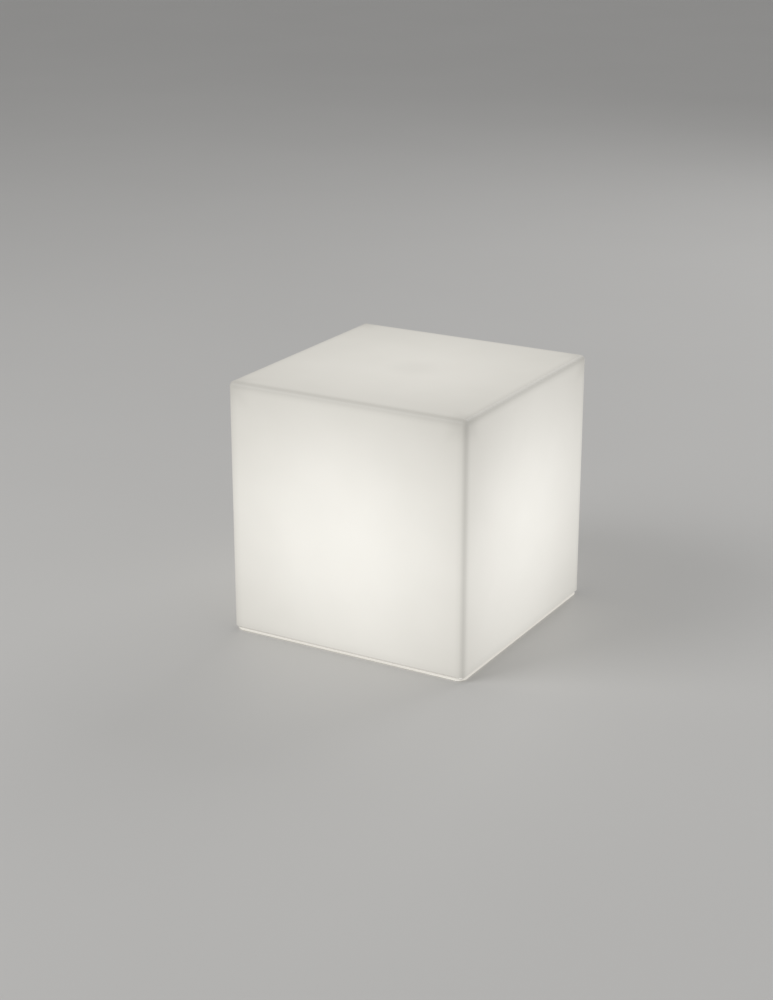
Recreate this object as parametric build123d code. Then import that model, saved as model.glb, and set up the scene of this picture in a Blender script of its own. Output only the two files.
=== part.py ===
"""LED cube light: a glowing hood on a low base plate, lit by a column of light-emitting diodes.

Millimetres, +Z up. The origin is on the floor under the centre of the cube, and the front is -Y.
Each function makes one kind of piece at its place. Every piece is written as a solid of its own.
"""

import os
from math import cos, radians, tan

from build123d import *

# ------------------------------------------------------------------ clearances
FIT = 0.05  # gap round a pressed, moulded-in or screwed piece
SLIDE = 0.3  # gap round a piece that moves
REST_GAP = 0.05  # gap under a piece that moves and rests on a seat
DROP_IN = 0.8  # gap round a piece that is dropped into place
SHANK_GAP = 0.2  # gap round a screw in a clearance hole

# ------------------------------------------------------------------ hood
CUBE_WIDTH = 400.0  # X
CUBE_DEPTH = 400.0  # Y
CUBE_HEIGHT = 400.0  # floor to top
SHELL_WALL = 4.0
SHELL_EDGE_RADIUS = 8.0  # outer upright and top edges
SHELL_INNER_RADIUS = 12.0  # the plastic gathers in the corners, so they are thicker
SHELL_INNER_BEVEL = 6.0  # inner edges round the top and the sole
SHELL_SOLE_BEVEL = 2.0  # outer edge round the underside
SOLE_FLANGE = 40.0  # flange left round the cut-out of the underside, from the outer face
SOLE_CORNER_RADIUS = 30.0
SHELL_BOSS_RADIUS = 8.0
SHELL_BOSS_HEIGHT = 10.0  # above the flange

# ------------------------------------------------------------------ base plate
FOOT_STAND = 1.2  # the feet lift the plate by this much
PLATE_THICKNESS = 3.0
PLATE_INSET = 1.0  # the plate's edge behind the hood's face
PLATE_CORNER_RADIUS = 14.0
PLATE_BEVEL = 0.8
SEAM_GAP = 1.2  # shadow gap between plate and hood, filled by the seal further in
SEAL_INSET = 6.0  # base seal behind the hood's face
SEAL_WIDTH = 5.0
SEAL_BEVEL = 8.0
LAND_WIDTH = 24.0  # raised land that carries the hood, inside the seal
LIP_WALL = 2.4  # upright lip that centres the hood by its cut-out
LIP_HEIGHT = 10.0  # above the plate
WELL_GAP = 2.0  # round the flange and cover of the module
RIB_WALL = 2.4
RIB_TOE = 3.0  # height of a rib at its outer end
RIB_SPREAD = 36.0  # ribs stand this far each side of a side's middle
FOOT_WIDTH = 22.0
FOOT_BEVEL = 4.0
FOOT_POCKET = 1.5
FOOT_INSET = 24.0  # foot centre behind each outer face

# ------------------------------------------------------------------ fasteners and inserts
BASE_SCREW_RADIUS = 2.0
BASE_SCREW_HEAD_RADIUS = 3.8
BASE_SCREW_HEAD = 2.0
BASE_SCREW_SINK = 2.4  # recess for the head
BASE_SCREW_LENGTH = 12.0
COVER_SCREW_RADIUS = 2.0
COVER_SCREW_HEAD_RADIUS = 3.8
COVER_SCREW_HEAD = 2.0
COVER_SCREW_LENGTH = 18.0
COVER_SCREW_INSET = 7.0  # screw centre behind the flange's edges
MODULE_SCREW_RADIUS = 1.5
MODULE_SCREW_HEAD_RADIUS = 2.9
MODULE_SCREW_HEAD = 1.8
MODULE_SCREW_LENGTH = 9.0
INSERT_WALL = 1.6
INSERT_LENGTH = 12.0
BOSS_WALL = 2.4  # plastic round a screw
BOSS_ROOF = 1.5  # plastic over a blind screw hole
SMALL_SIDES = 12  # a screw, a pin, its hole or its boss is too small to need more sides

# ------------------------------------------------------------------ charging socket and its plug
PLUG_HEAD_RADIUS = 7.0
PLUG_HEAD = 2.0
PLUG_GRIP = 2.0
PLUG_GRIP_WIDTH = 2.4
PLUG_GRIP_LENGTH = 10.0
PLUG_STEM = 5.0
PLUG_TRAVEL = 6.0
PLUG_FLOOR_GAP = 0.5  # left under the plug when it is pulled out over a floor
SOCKET_X = 31.0
SOCKET_Y = 0.0
SOCKET_BORE_RADIUS = 2.85  # takes a 5.5 mm plug
SOCKET_PIN_RADIUS = 1.05
SOCKET_PIN_SINK = 1.0  # the pin ends this far inside the mouth
SOCKET_BORE_DEPTH = 10.0
SOCKET_WIDTH = 11.0  # square body
SOCKET_FLANGE_RADIUS = 8.0
SOCKET_FLANGE = 1.5
SOCKET_LENGTH = 11.0  # behind its flange

# ------------------------------------------------------------------ module housing and cover
COVER_THICKNESS = 3.0
COVER_BEVEL = 1.0
FLANGE_THICKNESS = 3.0
FLANGE_WIDTH = 14.0
FLANGE_CORNER_RADIUS = 8.0
GASKET = 1.0
GASKET_WIDTH = 5.0
HOUSING_CORNER_BEVEL = 10.0  # inner upright corners
HOUSING_WALL = 2.5
HOUSING_ROOF = 3.0
HOUSING_ROOF_BEVEL = 2.0
WIRE_LANE = 15.0  # in front of and behind the battery pack
WIREWAY = 12.0  # over the battery pack, so that the lead can bend up
SHELF_LANE = 16.0  # free lane for the lead between the ribs over the pack
SHELF_RIB = 2.0

# ------------------------------------------------------------------ power button and key switch
BUTTON_X = -22.0
BUTTON_Y = 0.0
BUTTON_RADIUS = 8.0
BUTTON_PROUD = 0.8
BUTTON_TRAVEL = 1.2
BUTTON_LUG = 1.0  # lugs that hold the button in: height, reach past its side, and width
BUTTON_LUG_REACH = 1.6
BUTTON_LUG_WIDTH = 8.0
BUTTON_STEM_RADIUS = 2.5
BUTTON_STEM = 2.0
BUTTON_DISH = 0.4  # depth of the hollow for the finger
BUTTON_LIP = 1.0  # flat rim left round the hollow
BUTTON_SLOPE = 1.5  # width of the hollow's sloping side
RIM_WALL = 2.0  # rim round the button, moulded with the cover
RIM_PROUD = 1.2  # below the cover
RIM_RISE = 1.0  # above the cover, where it is the button's seat
SWITCH_WIDTH = 12.0
SWITCH_HEIGHT = 3.4
SWITCH_ROOF = 0.5
PLUNGER_RADIUS = 1.75

# ------------------------------------------------------------------ status light and vent
PIPE_RADIUS = 2.0
PIPE_GAP = 3.0  # from the rim of the button
STATUS_LED_WIDTH = 3.2
STATUS_LED_HEIGHT = 1.2
VENT_X = 22.0
VENT_Y = 29.0
VENT_HEAD_RADIUS = 7.5
VENT_HEAD = 2.4
VENT_SHANK_RADIUS = 5.0
VENT_SHANK_PROUD = 1.0  # above the cover
VENT_BORE_RADIUS = 3.0
VENT_SKIN = 0.8
VENT_SLOT = 1.6
VENT_SLOT_HEIGHT = 1.4
VENT_MEMBRANE = 0.3

# ------------------------------------------------------------------ control board
BOARD_WIDTH = 60.0
BOARD_DEPTH = 56.0
BOARD_THICKNESS = 1.6
BOARD_SHIFT = -16.0  # board centre, beside the socket
BOARD_HOLE_INSET_X = 5.0
BOARD_HOLE_INSET_Y = 12.0
COMPONENT_ROOM = 11.0  # above the board
COIL_WIDTH = 12.0
COIL_HEIGHT = 6.0
CAPACITOR_RADIUS = 4.0
CAPACITOR_HEIGHT = 9.0
CHIP_SIZES = ((6.0, 5.0, 1.6), (5.0, 5.0, 1.0), (4.0, 4.0, 1.0))
HEADER_WIDTH = 8.0
HEADER_DEPTH = 6.0
HEADER_HEIGHT = 9.5
HEADER_MOUTH = 7.0  # height of a header's mouth above the board

# ------------------------------------------------------------------ battery and leads
CELL_DIAMETER = 18.4
CELL_LENGTH = 65.0
CELL_COUNT = 4
CELL_GAP = 0.4
STRIP_WIDTH = 8.0
STRIP_THICKNESS = 0.3
GUARD_WIDTH = 58.0  # protection board on the end of the pack
GUARD_HEIGHT = 13.0
GUARD_THICKNESS = 1.2
GUARD_GAP = 0.2
PAD_THICKNESS = 2.0
CLAMP_THICKNESS = 2.4
CLAMP_SADDLE = 4.0
CLAMP_DEPTH = 24.0
LEAD_WIDTH = 3.6  # flat two-core lead
LEAD_THICKNESS = 1.8
LEAD_OUT = 10.0  # the battery lead stands this far off the protection board
LEAD_WALL_GAP = 4.0  # from the middle of the LED lead to the housing's wall
GROMMET_WALL = 1.2
GROMMET_FLANGE = 1.2
GROMMET_LIP = 0.9

# ------------------------------------------------------------------ light column
LAMP_CENTRE_HEIGHT = 176.0  # where the photo's faces are brightest
LED_BOARD_LENGTH = 90.0
LED_BOARD_WIDTH = 24.0
LED_BOARD_THICKNESS = 1.6
LED_WIDTH = 2.8
LED_LENGTH = 3.5
LED_HEIGHT = 0.8
LED_ROWS = 5
LED_COLUMNS = 2
LED_COLUMN_PITCH = 11.0
SINK_MARGIN = 6.0  # heat sink below the boards
SINK_SHOULDER = 8.0  # each side of a board
SINK_RECESS = 0.8
SINK_SLOT = 1.8
SINK_SLOT_DEPTH = 7.8  # from the corner
SINK_SLOT_ANGLE = 9.0
SINK_SLOTS_PER_CORNER = 3
POST_GAP = 2.0  # between the lead and the bore of the post
POST_WALL = 3.0
POST_BEVEL = 2.0  # upright edges of the stem
POST_FOOT_WIDTH = 10.0
POST_FOOT = 4.0
POST_HEAD_WIDTH = 6.0
POST_HEAD = 4.0
SOCKET_RIM_WALL = 2.0  # rim on the roof that centres the foot of the post
SOCKET_RIM_HEIGHT = 2.0
DISH_THICKNESS = 3.0
DISH_RIM = 6.0
DISH_RIM_WALL = 2.5
DISH_BEVEL = 1.5
TUBE_WALL = 2.5
TUBE_AIR = 8.0  # from the heat sink
TUBE_CORNER_BEVEL = 14.0
LINK_BOARD_THICKNESS = 1.6
CAP_ROOM = 6.0  # over the link board, for the solder joints
CAP_THICKNESS = 3.0
CAP_BEVEL = 1.5
CAP_BOSS_WIDTH = 11.0
ROD_RADIUS = 2.5
ROD_END = 2.0
NUT_WIDTH = 8.0
NUT_HEIGHT = 4.0

# ------------------------------------------------------------------ levels, from the floor up
PLATE_BOTTOM = FOOT_STAND
PLATE_TOP = PLATE_BOTTOM + PLATE_THICKNESS
SHELL_BOTTOM = PLATE_TOP + SEAM_GAP
SOLE_TOP = SHELL_BOTTOM + SHELL_WALL
COVER_BOTTOM = PLUG_FLOOR_GAP + PLUG_TRAVEL + PLUG_GRIP + PLUG_HEAD + SOCKET_FLANGE
COVER_TOP = COVER_BOTTOM + COVER_THICKNESS
FLANGE_BOTTOM = COVER_TOP + GASKET
FLANGE_TOP = FLANGE_BOTTOM + FLANGE_THICKNESS
WELL_BOTTOM = FLANGE_TOP + GASKET
WELL_TOP = WELL_BOTTOM + PLATE_THICKNESS
RIM_TOP = COVER_TOP + RIM_RISE
BUTTON_SEAT = RIM_TOP + REST_GAP
BUTTON_TIP = BUTTON_SEAT + BUTTON_LUG + BUTTON_STEM
PLUNGER_TIP = BUTTON_TIP + REST_GAP
SWITCH_BOTTOM = PLUNGER_TIP + BUTTON_TRAVEL + SLIDE
BOARD_BOTTOM = SWITCH_BOTTOM + SWITCH_HEIGHT
BOARD_TOP = BOARD_BOTTOM + BOARD_THICKNESS
MOUTH = BOARD_TOP + HEADER_MOUTH
CLAMP_BOTTOM = BOARD_TOP + COMPONENT_ROOM
CLAMP_TOP = CLAMP_BOTTOM + CLAMP_THICKNESS
CELL_AXIS = CLAMP_TOP + CELL_DIAMETER / 2
PAD_BOTTOM = CLAMP_TOP + CELL_DIAMETER
PAD_TOP = PAD_BOTTOM + PAD_THICKNESS
ROOF_BOTTOM = PAD_TOP + WIREWAY
ROOF_TOP = ROOF_BOTTOM + HOUSING_ROOF
SINK_BOTTOM = LAMP_CENTRE_HEIGHT - LED_BOARD_LENGTH / 2 - SINK_MARGIN
SINK_TOP = LAMP_CENTRE_HEIGHT + LED_BOARD_LENGTH / 2
DISH_BOTTOM = SINK_BOTTOM - DISH_THICKNESS
LINK_TOP = SINK_TOP + LINK_BOARD_THICKNESS
CAP_BOTTOM = LINK_TOP + CAP_ROOM
CAP_TOP = CAP_BOTTOM + CAP_THICKNESS

# ------------------------------------------------------------------ reaches, from the centre out
CELL_PITCH = CELL_DIAMETER + CELL_GAP
PACK_WIDTH = CELL_COUNT * CELL_PITCH
GUARD_BACK = CELL_LENGTH / 2 + STRIP_THICKNESS + GUARD_GAP
GUARD_FACE = GUARD_BACK + GUARD_THICKNESS
MODULE_BOSS_RADIUS = MODULE_SCREW_RADIUS + BOSS_WALL
CLAMP_BOSS_X = PACK_WIDTH / 2 + MODULE_BOSS_RADIUS + DROP_IN
HOUSING_HALF = max(GUARD_FACE + WIRE_LANE, CLAMP_BOSS_X + MODULE_BOSS_RADIUS)
HOUSING_OUTER = HOUSING_HALF + HOUSING_WALL
HOUSING_OUTLINE = (HOUSING_HALF, HOUSING_CORNER_BEVEL)
FLANGE_HALF = HOUSING_OUTER + FLANGE_WIDTH
WELL_HALF = FLANGE_HALF + WELL_GAP
WELL_CORNER = FLANGE_CORNER_RADIUS + WELL_GAP
COVER_BOSS_RADIUS = COVER_SCREW_RADIUS + BOSS_WALL
LAND_INSET = SEAL_INSET + SEAL_WIDTH + FIT
LIP_INSET = SOLE_FLANGE + DROP_IN
RIM_BORE = BUTTON_RADIUS + SLIDE
RIM_RADIUS = RIM_BORE + RIM_WALL
PIPE_Y = BUTTON_Y + RIM_RADIUS + PIPE_GAP + PIPE_RADIUS
NUT_REACH = NUT_WIDTH / 2 / cos(radians(30))
LEAD_Y = NUT_REACH + GROMMET_LIP + GROMMET_WALL + LEAD_THICKNESS / 2 + SLIDE  # behind the tie rod
BORE_HALF = LEAD_Y + LEAD_THICKNESS / 2 + POST_GAP  # bore of post and heat sink
POST_HALF = BORE_HALF + POST_WALL
POST_OUTLINE = (POST_HALF, POST_BEVEL)
POST_FOOT_HALF = POST_HALF + POST_FOOT_WIDTH
SINK_HALF = LED_BOARD_WIDTH / 2 + SINK_SHOULDER
LED_FACE = SINK_HALF - SINK_RECESS + LED_BOARD_THICKNESS
TUBE_HALF = SINK_HALF + TUBE_AIR + TUBE_WALL
TUBE_OUTLINE = (TUBE_HALF, TUBE_CORNER_BEVEL)
DISH_HALF = TUBE_HALF + FIT + DISH_RIM_WALL

os.makedirs("parts", exist_ok=True)


# ------------------------------------------------------------------ shapes used more than once
def rod(radius, low, high, x=0.0, y=0.0):
    """Upright cylinder between two heights."""
    return Pos(x, y, (low + high) / 2) * Cylinder(radius, high - low)


def block(width, depth, low, high, x=0.0, y=0.0):
    """Box between two heights."""
    return Pos(x, y, (low + high) / 2) * Box(width, depth, high - low)


def peg(radius, low, high, x=0.0, y=0.0, sides=SMALL_SIDES):
    """Upright bar with equal sides, measured from its axis to an edge."""
    return Pos(x, y, low) * extrude(RegularPolygon(radius, sides), high - low)


def slab(half, corner, low, high):
    """Square plate with round corners between two heights, half as wide as it is."""
    return Pos(0, 0, low) * extrude(RectangleRounded(2 * half, 2 * half, corner), high - low)


def even_bevel(bevel, out):
    """Corner bevel of an outline moved out by an even distance."""
    return bevel + out * (2 - 2**0.5)


def cut_slab(half, outline, low, high):
    """Square plate with bevelled corners that follows an outline (half width, bevel)."""
    plate = block(2 * half, 2 * half, low, high)
    return chamfer(plate.edges().filter_by(Axis.Z), even_bevel(outline[1], half - outline[0]))


def outline_slab(inset, corner, low, high):
    """Plate that follows the cube's outline at a distance inside its faces."""
    outline = RectangleRounded(CUBE_WIDTH - 2 * inset, CUBE_DEPTH - 2 * inset, corner)
    return Pos(0, 0, low) * extrude(outline, high - low)


def turned(*points):
    """Turns a closed outline of (radius, height) points about the upright axis."""
    return revolve(Plane.XZ * make_face(Polyline(*points, close=True)), Axis.Z)


def bevel_bottom(shape, size):
    return chamfer(shape.faces().sort_by(Axis.Z)[0].edges(), size)


def bevel_top(shape, size):
    return chamfer(shape.faces().sort_by(Axis.Z)[-1].edges(), size)


def corner_points(half_x, half_y):
    """The four corners of a rectangle round the centre."""
    return [(x * half_x, y * half_y) for x in (-1, 1) for y in (-1, 1)]


def hex_screw(radius, length, head_radius, head):
    """Screw with a hexagon head below z = 0 and its shank above."""
    return peg(radius, 0, length) + peg(head_radius, -head, 0, sides=6)


def lead(points, across, largest=25.0):
    """Flat two-core lead along straight runs, joined by arcs as large as the runs and room allow."""
    corners = [Vector(*point) for point in points]
    last = len(corners) - 2
    radii = []
    for index in range(1, last + 1):
        before = corners[index] - corners[index - 1]
        after = corners[index + 1] - corners[index]
        free_before = before.length * (0.9 if index == 1 else 0.45)
        free_after = after.length * (0.9 if index == last else 0.45)
        half_turn = radians(before.get_angle(after)) / 2
        radii.append(min(min(free_before, free_after) / tan(half_turn), largest))
    route = FilletPolyline(*corners, radius=radii)
    start = Plane(origin=corners[0], x_dir=across, z_dir=corners[1] - corners[0])
    return sweep(start * Rectangle(LEAD_WIDTH, LEAD_THICKNESS), path=route), min(radii)


def write(name, *pieces):
    """Writes one node: a single solid, or a group of separate alike ones."""
    solids = [solid for piece in pieces for solid in piece.solids()]
    shape = solids[0] if len(solids) == 1 else Compound(children=solids)
    export_step(shape, f"parts/{name}.step")


# ------------------------------------------------------------------ outer body
def base_screw_points():
    """Middle of the sole flange, at the middle of each side."""
    reach_x = (CUBE_WIDTH - SOLE_FLANGE) / 2
    reach_y = (CUBE_DEPTH - SOLE_FLANGE) / 2
    return [(-reach_x, 0.0), (reach_x, 0.0), (0.0, -reach_y), (0.0, reach_y)]


def foot_points():
    return corner_points(CUBE_WIDTH / 2 - FOOT_INSET, CUBE_DEPTH / 2 - FOOT_INSET)


def insert_reach(gap):
    """From an insert's axis to an edge of its hexagon."""
    return (BASE_SCREW_RADIUS + INSERT_WALL + gap) / cos(radians(30))


def make_cube_shell():
    """Rotomoulded hood: thin walls, thick round corners, and a flanged sole cut open."""
    outer = block(CUBE_WIDTH, CUBE_DEPTH, SHELL_BOTTOM, CUBE_HEIGHT)
    sole_edges = outer.faces().sort_by(Axis.Z)[0].edges()
    outer = fillet([edge for edge in outer.edges() if edge not in sole_edges], SHELL_EDGE_RADIUS)
    inner = outline_slab(SHELL_WALL, SHELL_INNER_RADIUS, SOLE_TOP, CUBE_HEIGHT - SHELL_WALL)
    inner = bevel_top(bevel_bottom(inner, SHELL_INNER_BEVEL), SHELL_INNER_BEVEL)
    shell = bevel_bottom(outer, SHELL_SOLE_BEVEL) - inner
    shell -= outline_slab(SOLE_FLANGE, SOLE_CORNER_RADIUS, SHELL_BOTTOM - 1, SOLE_TOP + 1)
    for x, y in base_screw_points():
        shell += peg(SHELL_BOSS_RADIUS, SHELL_BOTTOM, SOLE_TOP + SHELL_BOSS_HEIGHT, x, y)
        pocket_top = SHELL_BOTTOM + INSERT_LENGTH
        shell -= peg(insert_reach(FIT), SHELL_BOTTOM - 1, pocket_top, x, y, sides=6)
    return shell


def make_shell_inserts():
    """Six-sided brass inserts moulded into the hood's bosses."""
    top = SHELL_BOTTOM + INSERT_LENGTH
    sleeve = peg(insert_reach(0), SHELL_BOTTOM, top, sides=6)
    sleeve -= peg(BASE_SCREW_RADIUS + FIT, SHELL_BOTTOM - 1, top + 1)
    return [Pos(x, y, 0) * sleeve for x, y in base_screw_points()]


def make_base_plate():
    """Moulded plate with a land and a lip for the hood, and a ribbed well for the module."""
    plate = outline_slab(PLATE_INSET, PLATE_CORNER_RADIUS, PLATE_BOTTOM, PLATE_TOP)
    plate = bevel_top(bevel_bottom(plate, PLATE_BEVEL), PLATE_BEVEL)
    land_width, land_depth = CUBE_WIDTH - 2 * LAND_INSET, CUBE_DEPTH - 2 * LAND_INSET
    land = block(land_width, land_depth, PLATE_TOP, SHELL_BOTTOM)
    land = chamfer(land.edges().filter_by(Axis.Z), even_bevel(SEAL_BEVEL, SEAL_INSET - LAND_INSET))
    inside = 2 * LAND_WIDTH
    land -= block(land_width - inside, land_depth - inside, PLATE_TOP - 1, SHELL_BOTTOM + 1)
    lip_top = PLATE_TOP + LIP_HEIGHT
    lip_corner = SOLE_CORNER_RADIUS - DROP_IN
    lip = outline_slab(LIP_INSET, lip_corner, PLATE_TOP, lip_top)
    lip_bore = outline_slab(LIP_INSET + LIP_WALL, lip_corner - LIP_WALL, PLATE_TOP - 1, lip_top + 1)
    plate = plate + land + (lip - lip_bore)

    well_outer = WELL_HALF + PLATE_THICKNESS
    well = slab(well_outer, WELL_CORNER + PLATE_THICKNESS, PLATE_BOTTOM, WELL_TOP)
    for turn in (0, 90, 180, 270):
        for rib in (make_rib(RIB_SPREAD), make_rib(-RIB_SPREAD)):
            plate += Rot(0, 0, turn) * rib
    plate = plate + well - slab(WELL_HALF, WELL_CORNER, PLATE_BOTTOM - 1, WELL_BOTTOM)
    plate -= cut_slab(HOUSING_OUTER + DROP_IN, HOUSING_OUTLINE, WELL_BOTTOM - 1, WELL_TOP + 1)

    hole_top = COVER_BOTTOM + COVER_SCREW_LENGTH
    for x, y in cover_screw_points():
        plate += peg(COVER_BOSS_RADIUS, WELL_BOTTOM, hole_top + BOSS_ROOF, x, y)
        plate -= peg(COVER_SCREW_RADIUS + FIT, WELL_BOTTOM - 1, hole_top, x, y)
    for x, y in base_screw_points():
        recess_top = PLATE_BOTTOM + BASE_SCREW_SINK
        plate -= peg(BASE_SCREW_HEAD_RADIUS + DROP_IN, PLATE_BOTTOM - 1, recess_top, x, y)
        plate -= peg(BASE_SCREW_RADIUS + SHANK_GAP, PLATE_BOTTOM, SHELL_BOTTOM + 1, x, y)
    for x, y in foot_points():
        plate -= foot_pad(x, y, FIT, PLATE_BOTTOM - 1)
    return plate


def make_rib(offset):
    """Sloping rib from the well's wall out to the lip."""
    inner = WELL_HALF + PLATE_THICKNESS / 2
    outer = min(CUBE_WIDTH, CUBE_DEPTH) / 2 - LIP_INSET - LIP_WALL / 2
    low = PLATE_TOP - FIT
    profile = Polyline(
        (inner, low), (outer, low), (outer, PLATE_TOP + RIB_TOE), (inner, WELL_BOTTOM), close=True
    )
    return Pos(0, offset + RIB_WALL / 2, 0) * extrude(Plane.XZ * make_face(profile), RIB_WALL)


def make_base_seal():
    """Sponge frame between plate and sole, outside the land."""
    width, depth = CUBE_WIDTH - 2 * SEAL_INSET, CUBE_DEPTH - 2 * SEAL_INSET
    inside = 2 * SEAL_WIDTH
    outer = block(width, depth, PLATE_TOP, SHELL_BOTTOM)
    inner = block(width - inside, depth - inside, PLATE_TOP - 1, SHELL_BOTTOM + 1)
    outer = chamfer(outer.edges().filter_by(Axis.Z), SEAL_BEVEL)
    return outer - chamfer(inner.edges().filter_by(Axis.Z), even_bevel(SEAL_BEVEL, -SEAL_WIDTH))


def make_base_screws():
    screw = hex_screw(BASE_SCREW_RADIUS, BASE_SCREW_LENGTH, BASE_SCREW_HEAD_RADIUS, BASE_SCREW_HEAD)
    return [Pos(x, y, PLATE_BOTTOM + BASE_SCREW_SINK) * screw for x, y in base_screw_points()]


def foot_pad(x, y, gap, low):
    """Rubber foot from its pocket's end down to a height, or its pocket with a gap round it."""
    half = FOOT_WIDTH / 2
    return Pos(x, y, 0) * cut_slab(half + gap, (half, FOOT_BEVEL), low, PLATE_BOTTOM + FOOT_POCKET)


# ------------------------------------------------------------------ service module: housing and cover
def cover_screw_points():
    """The corners of the flange: these screws hold cover and housing to the base plate."""
    return corner_points(FLANGE_HALF - COVER_SCREW_INSET, FLANGE_HALF - COVER_SCREW_INSET)


def board_screw_points():
    """Two opposite corners of the control board."""
    reach_x = BOARD_WIDTH / 2 - BOARD_HOLE_INSET_X
    reach_y = BOARD_DEPTH / 2 - BOARD_HOLE_INSET_Y
    return [(BOARD_SHIFT - reach_x, -reach_y), (BOARD_SHIFT + reach_x, reach_y)]


def clamp_screw_points():
    return [(-CLAMP_BOSS_X, 0.0), (CLAMP_BOSS_X, 0.0)]


def make_module_housing():
    """Upturned box with a flange below, ribs and bosses under its roof, and a rim for the post."""
    box = cut_slab(HOUSING_OUTER, HOUSING_OUTLINE, FLANGE_BOTTOM, ROOF_TOP)
    box = bevel_top(box, HOUSING_ROOF_BEVEL)
    box += slab(FLANGE_HALF, FLANGE_CORNER_RADIUS, FLANGE_BOTTOM, FLANGE_TOP)
    box -= cut_slab(HOUSING_HALF, HOUSING_OUTLINE, FLANGE_BOTTOM - 1, ROOF_BOTTOM)
    rim_bore = POST_FOOT_HALF + FIT
    rim_top = ROOF_TOP + SOCKET_RIM_HEIGHT
    box += cut_slab(rim_bore + SOCKET_RIM_WALL, POST_OUTLINE, ROOF_BOTTOM + FIT, rim_top)
    box -= cut_slab(rim_bore, POST_OUTLINE, ROOF_TOP, rim_top + 1)
    for x, y in clamp_screw_points():
        box += peg(MODULE_BOSS_RADIUS, CLAMP_TOP, ROOF_BOTTOM + FIT, x, y)
        box -= peg(MODULE_SCREW_RADIUS + FIT, CLAMP_TOP - 1, CLAMP_TOP + MODULE_SCREW_LENGTH, x, y)
    rib_depth = CELL_LENGTH - 2 * SHELF_RIB
    inner_x = (SHELF_LANE + SHELF_RIB) / 2
    outer_x = (PACK_WIDTH - SHELF_RIB) / 2
    for x in (-outer_x, -inner_x, inner_x, outer_x):
        box += block(SHELF_RIB, rib_depth, PAD_TOP, ROOF_BOTTOM + FIT, x)
    for x, y in cover_screw_points():
        box -= peg(COVER_SCREW_RADIUS + SHANK_GAP, FLANGE_BOTTOM - 1, FLANGE_TOP + 1, x, y)
    box -= peg(ROD_RADIUS + FIT, ROOF_BOTTOM - 1, ROOF_TOP + 1)
    width, depth = grommet_body()
    return box - block(width + 2 * FIT, depth + 2 * FIT, ROOF_BOTTOM - 1, ROOF_TOP + 1, 0, LEAD_Y)


def make_gasket(low):
    """Flat frame seal round the housing, one gasket thick."""
    half = HOUSING_OUTER + DROP_IN
    frame = cut_slab(half + GASKET_WIDTH, HOUSING_OUTLINE, low, low + GASKET)
    return frame - cut_slab(half, HOUSING_OUTLINE, low - 1, low + GASKET + 1)


def make_module_cover():
    """Plate that closes the housing and carries the board, button, socket, light pipe and vent."""
    cover = bevel_bottom(slab(FLANGE_HALF, FLANGE_CORNER_RADIUS, COVER_BOTTOM, COVER_TOP), COVER_BEVEL)
    cover += rod(RIM_RADIUS, COVER_BOTTOM - RIM_PROUD, RIM_TOP, BUTTON_X, BUTTON_Y)
    depth = MODULE_SCREW_LENGTH - BOARD_THICKNESS + FIT
    for x, y in board_screw_points():
        cover += peg(MODULE_BOSS_RADIUS, COVER_TOP - FIT, BOARD_BOTTOM, x, y)
        cover -= peg(MODULE_SCREW_RADIUS + FIT, BOARD_BOTTOM - depth, BOARD_BOTTOM + 1, x, y)
    low, high = COVER_BOTTOM - 1, COVER_TOP + 1
    for x, y in cover_screw_points():
        cover -= peg(COVER_SCREW_RADIUS + SHANK_GAP, low, high, x, y)
    socket_hole = SOCKET_WIDTH + 2 * FIT
    cover -= block(socket_hole, socket_hole, low, high, SOCKET_X, SOCKET_Y)
    cover -= peg(PIPE_RADIUS + FIT, low, high, BUTTON_X, PIPE_Y)
    cover -= peg(VENT_SHANK_RADIUS + FIT, low, high, VENT_X, VENT_Y)
    return cover - rod(RIM_BORE, COVER_BOTTOM - RIM_PROUD - 1, RIM_TOP + 1, BUTTON_X, BUTTON_Y)


def make_cover_screws():
    screw = hex_screw(
        COVER_SCREW_RADIUS, COVER_SCREW_LENGTH, COVER_SCREW_HEAD_RADIUS, COVER_SCREW_HEAD
    )
    return [Pos(x, y, COVER_BOTTOM) * screw for x, y in cover_screw_points()]


def make_module_screws():
    """Alike screws of the board and the battery clamp."""
    screw = hex_screw(
        MODULE_SCREW_RADIUS, MODULE_SCREW_LENGTH, MODULE_SCREW_HEAD_RADIUS, MODULE_SCREW_HEAD
    )
    downward = Rot(180, 0, 0) * screw
    screws = [Pos(x, y, BOARD_TOP) * downward for x, y in board_screw_points()]
    return screws + [Pos(x, y, CLAMP_BOTTOM) * screw for x, y in clamp_screw_points()]


# ------------------------------------------------------------------ service module: controls
def make_power_button():
    """Push button with a hollow for the finger, two lugs that hold it in, and a stem."""
    face = COVER_BOTTOM - RIM_PROUD - BUTTON_PROUD
    top = BUTTON_SEAT + BUTTON_LUG
    hollow_radius = BUTTON_RADIUS - BUTTON_LIP
    floor_radius, floor = hollow_radius - BUTTON_SLOPE, face + BUTTON_DISH
    hollow = turned((0, face), (hollow_radius, face), (floor_radius, floor), (0, floor))
    button = rod(BUTTON_RADIUS, face, top) - hollow
    span = 2 * (BUTTON_RADIUS + BUTTON_LUG_REACH)
    button += block(span, BUTTON_LUG_WIDTH, BUTTON_SEAT, top)
    button += peg(BUTTON_STEM_RADIUS, top, BUTTON_TIP)
    return Pos(BUTTON_X, BUTTON_Y, 0) * button


def make_switch_body():
    """Key switch under the board, with a guide for its plunger."""
    body = block(SWITCH_WIDTH, SWITCH_WIDTH, SWITCH_BOTTOM, BOARD_BOTTOM)
    body -= peg(PLUNGER_RADIUS + SLIDE, SWITCH_BOTTOM - 1, BOARD_BOTTOM - SWITCH_ROOF)
    return Pos(BUTTON_X, BUTTON_Y, 0) * body


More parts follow.
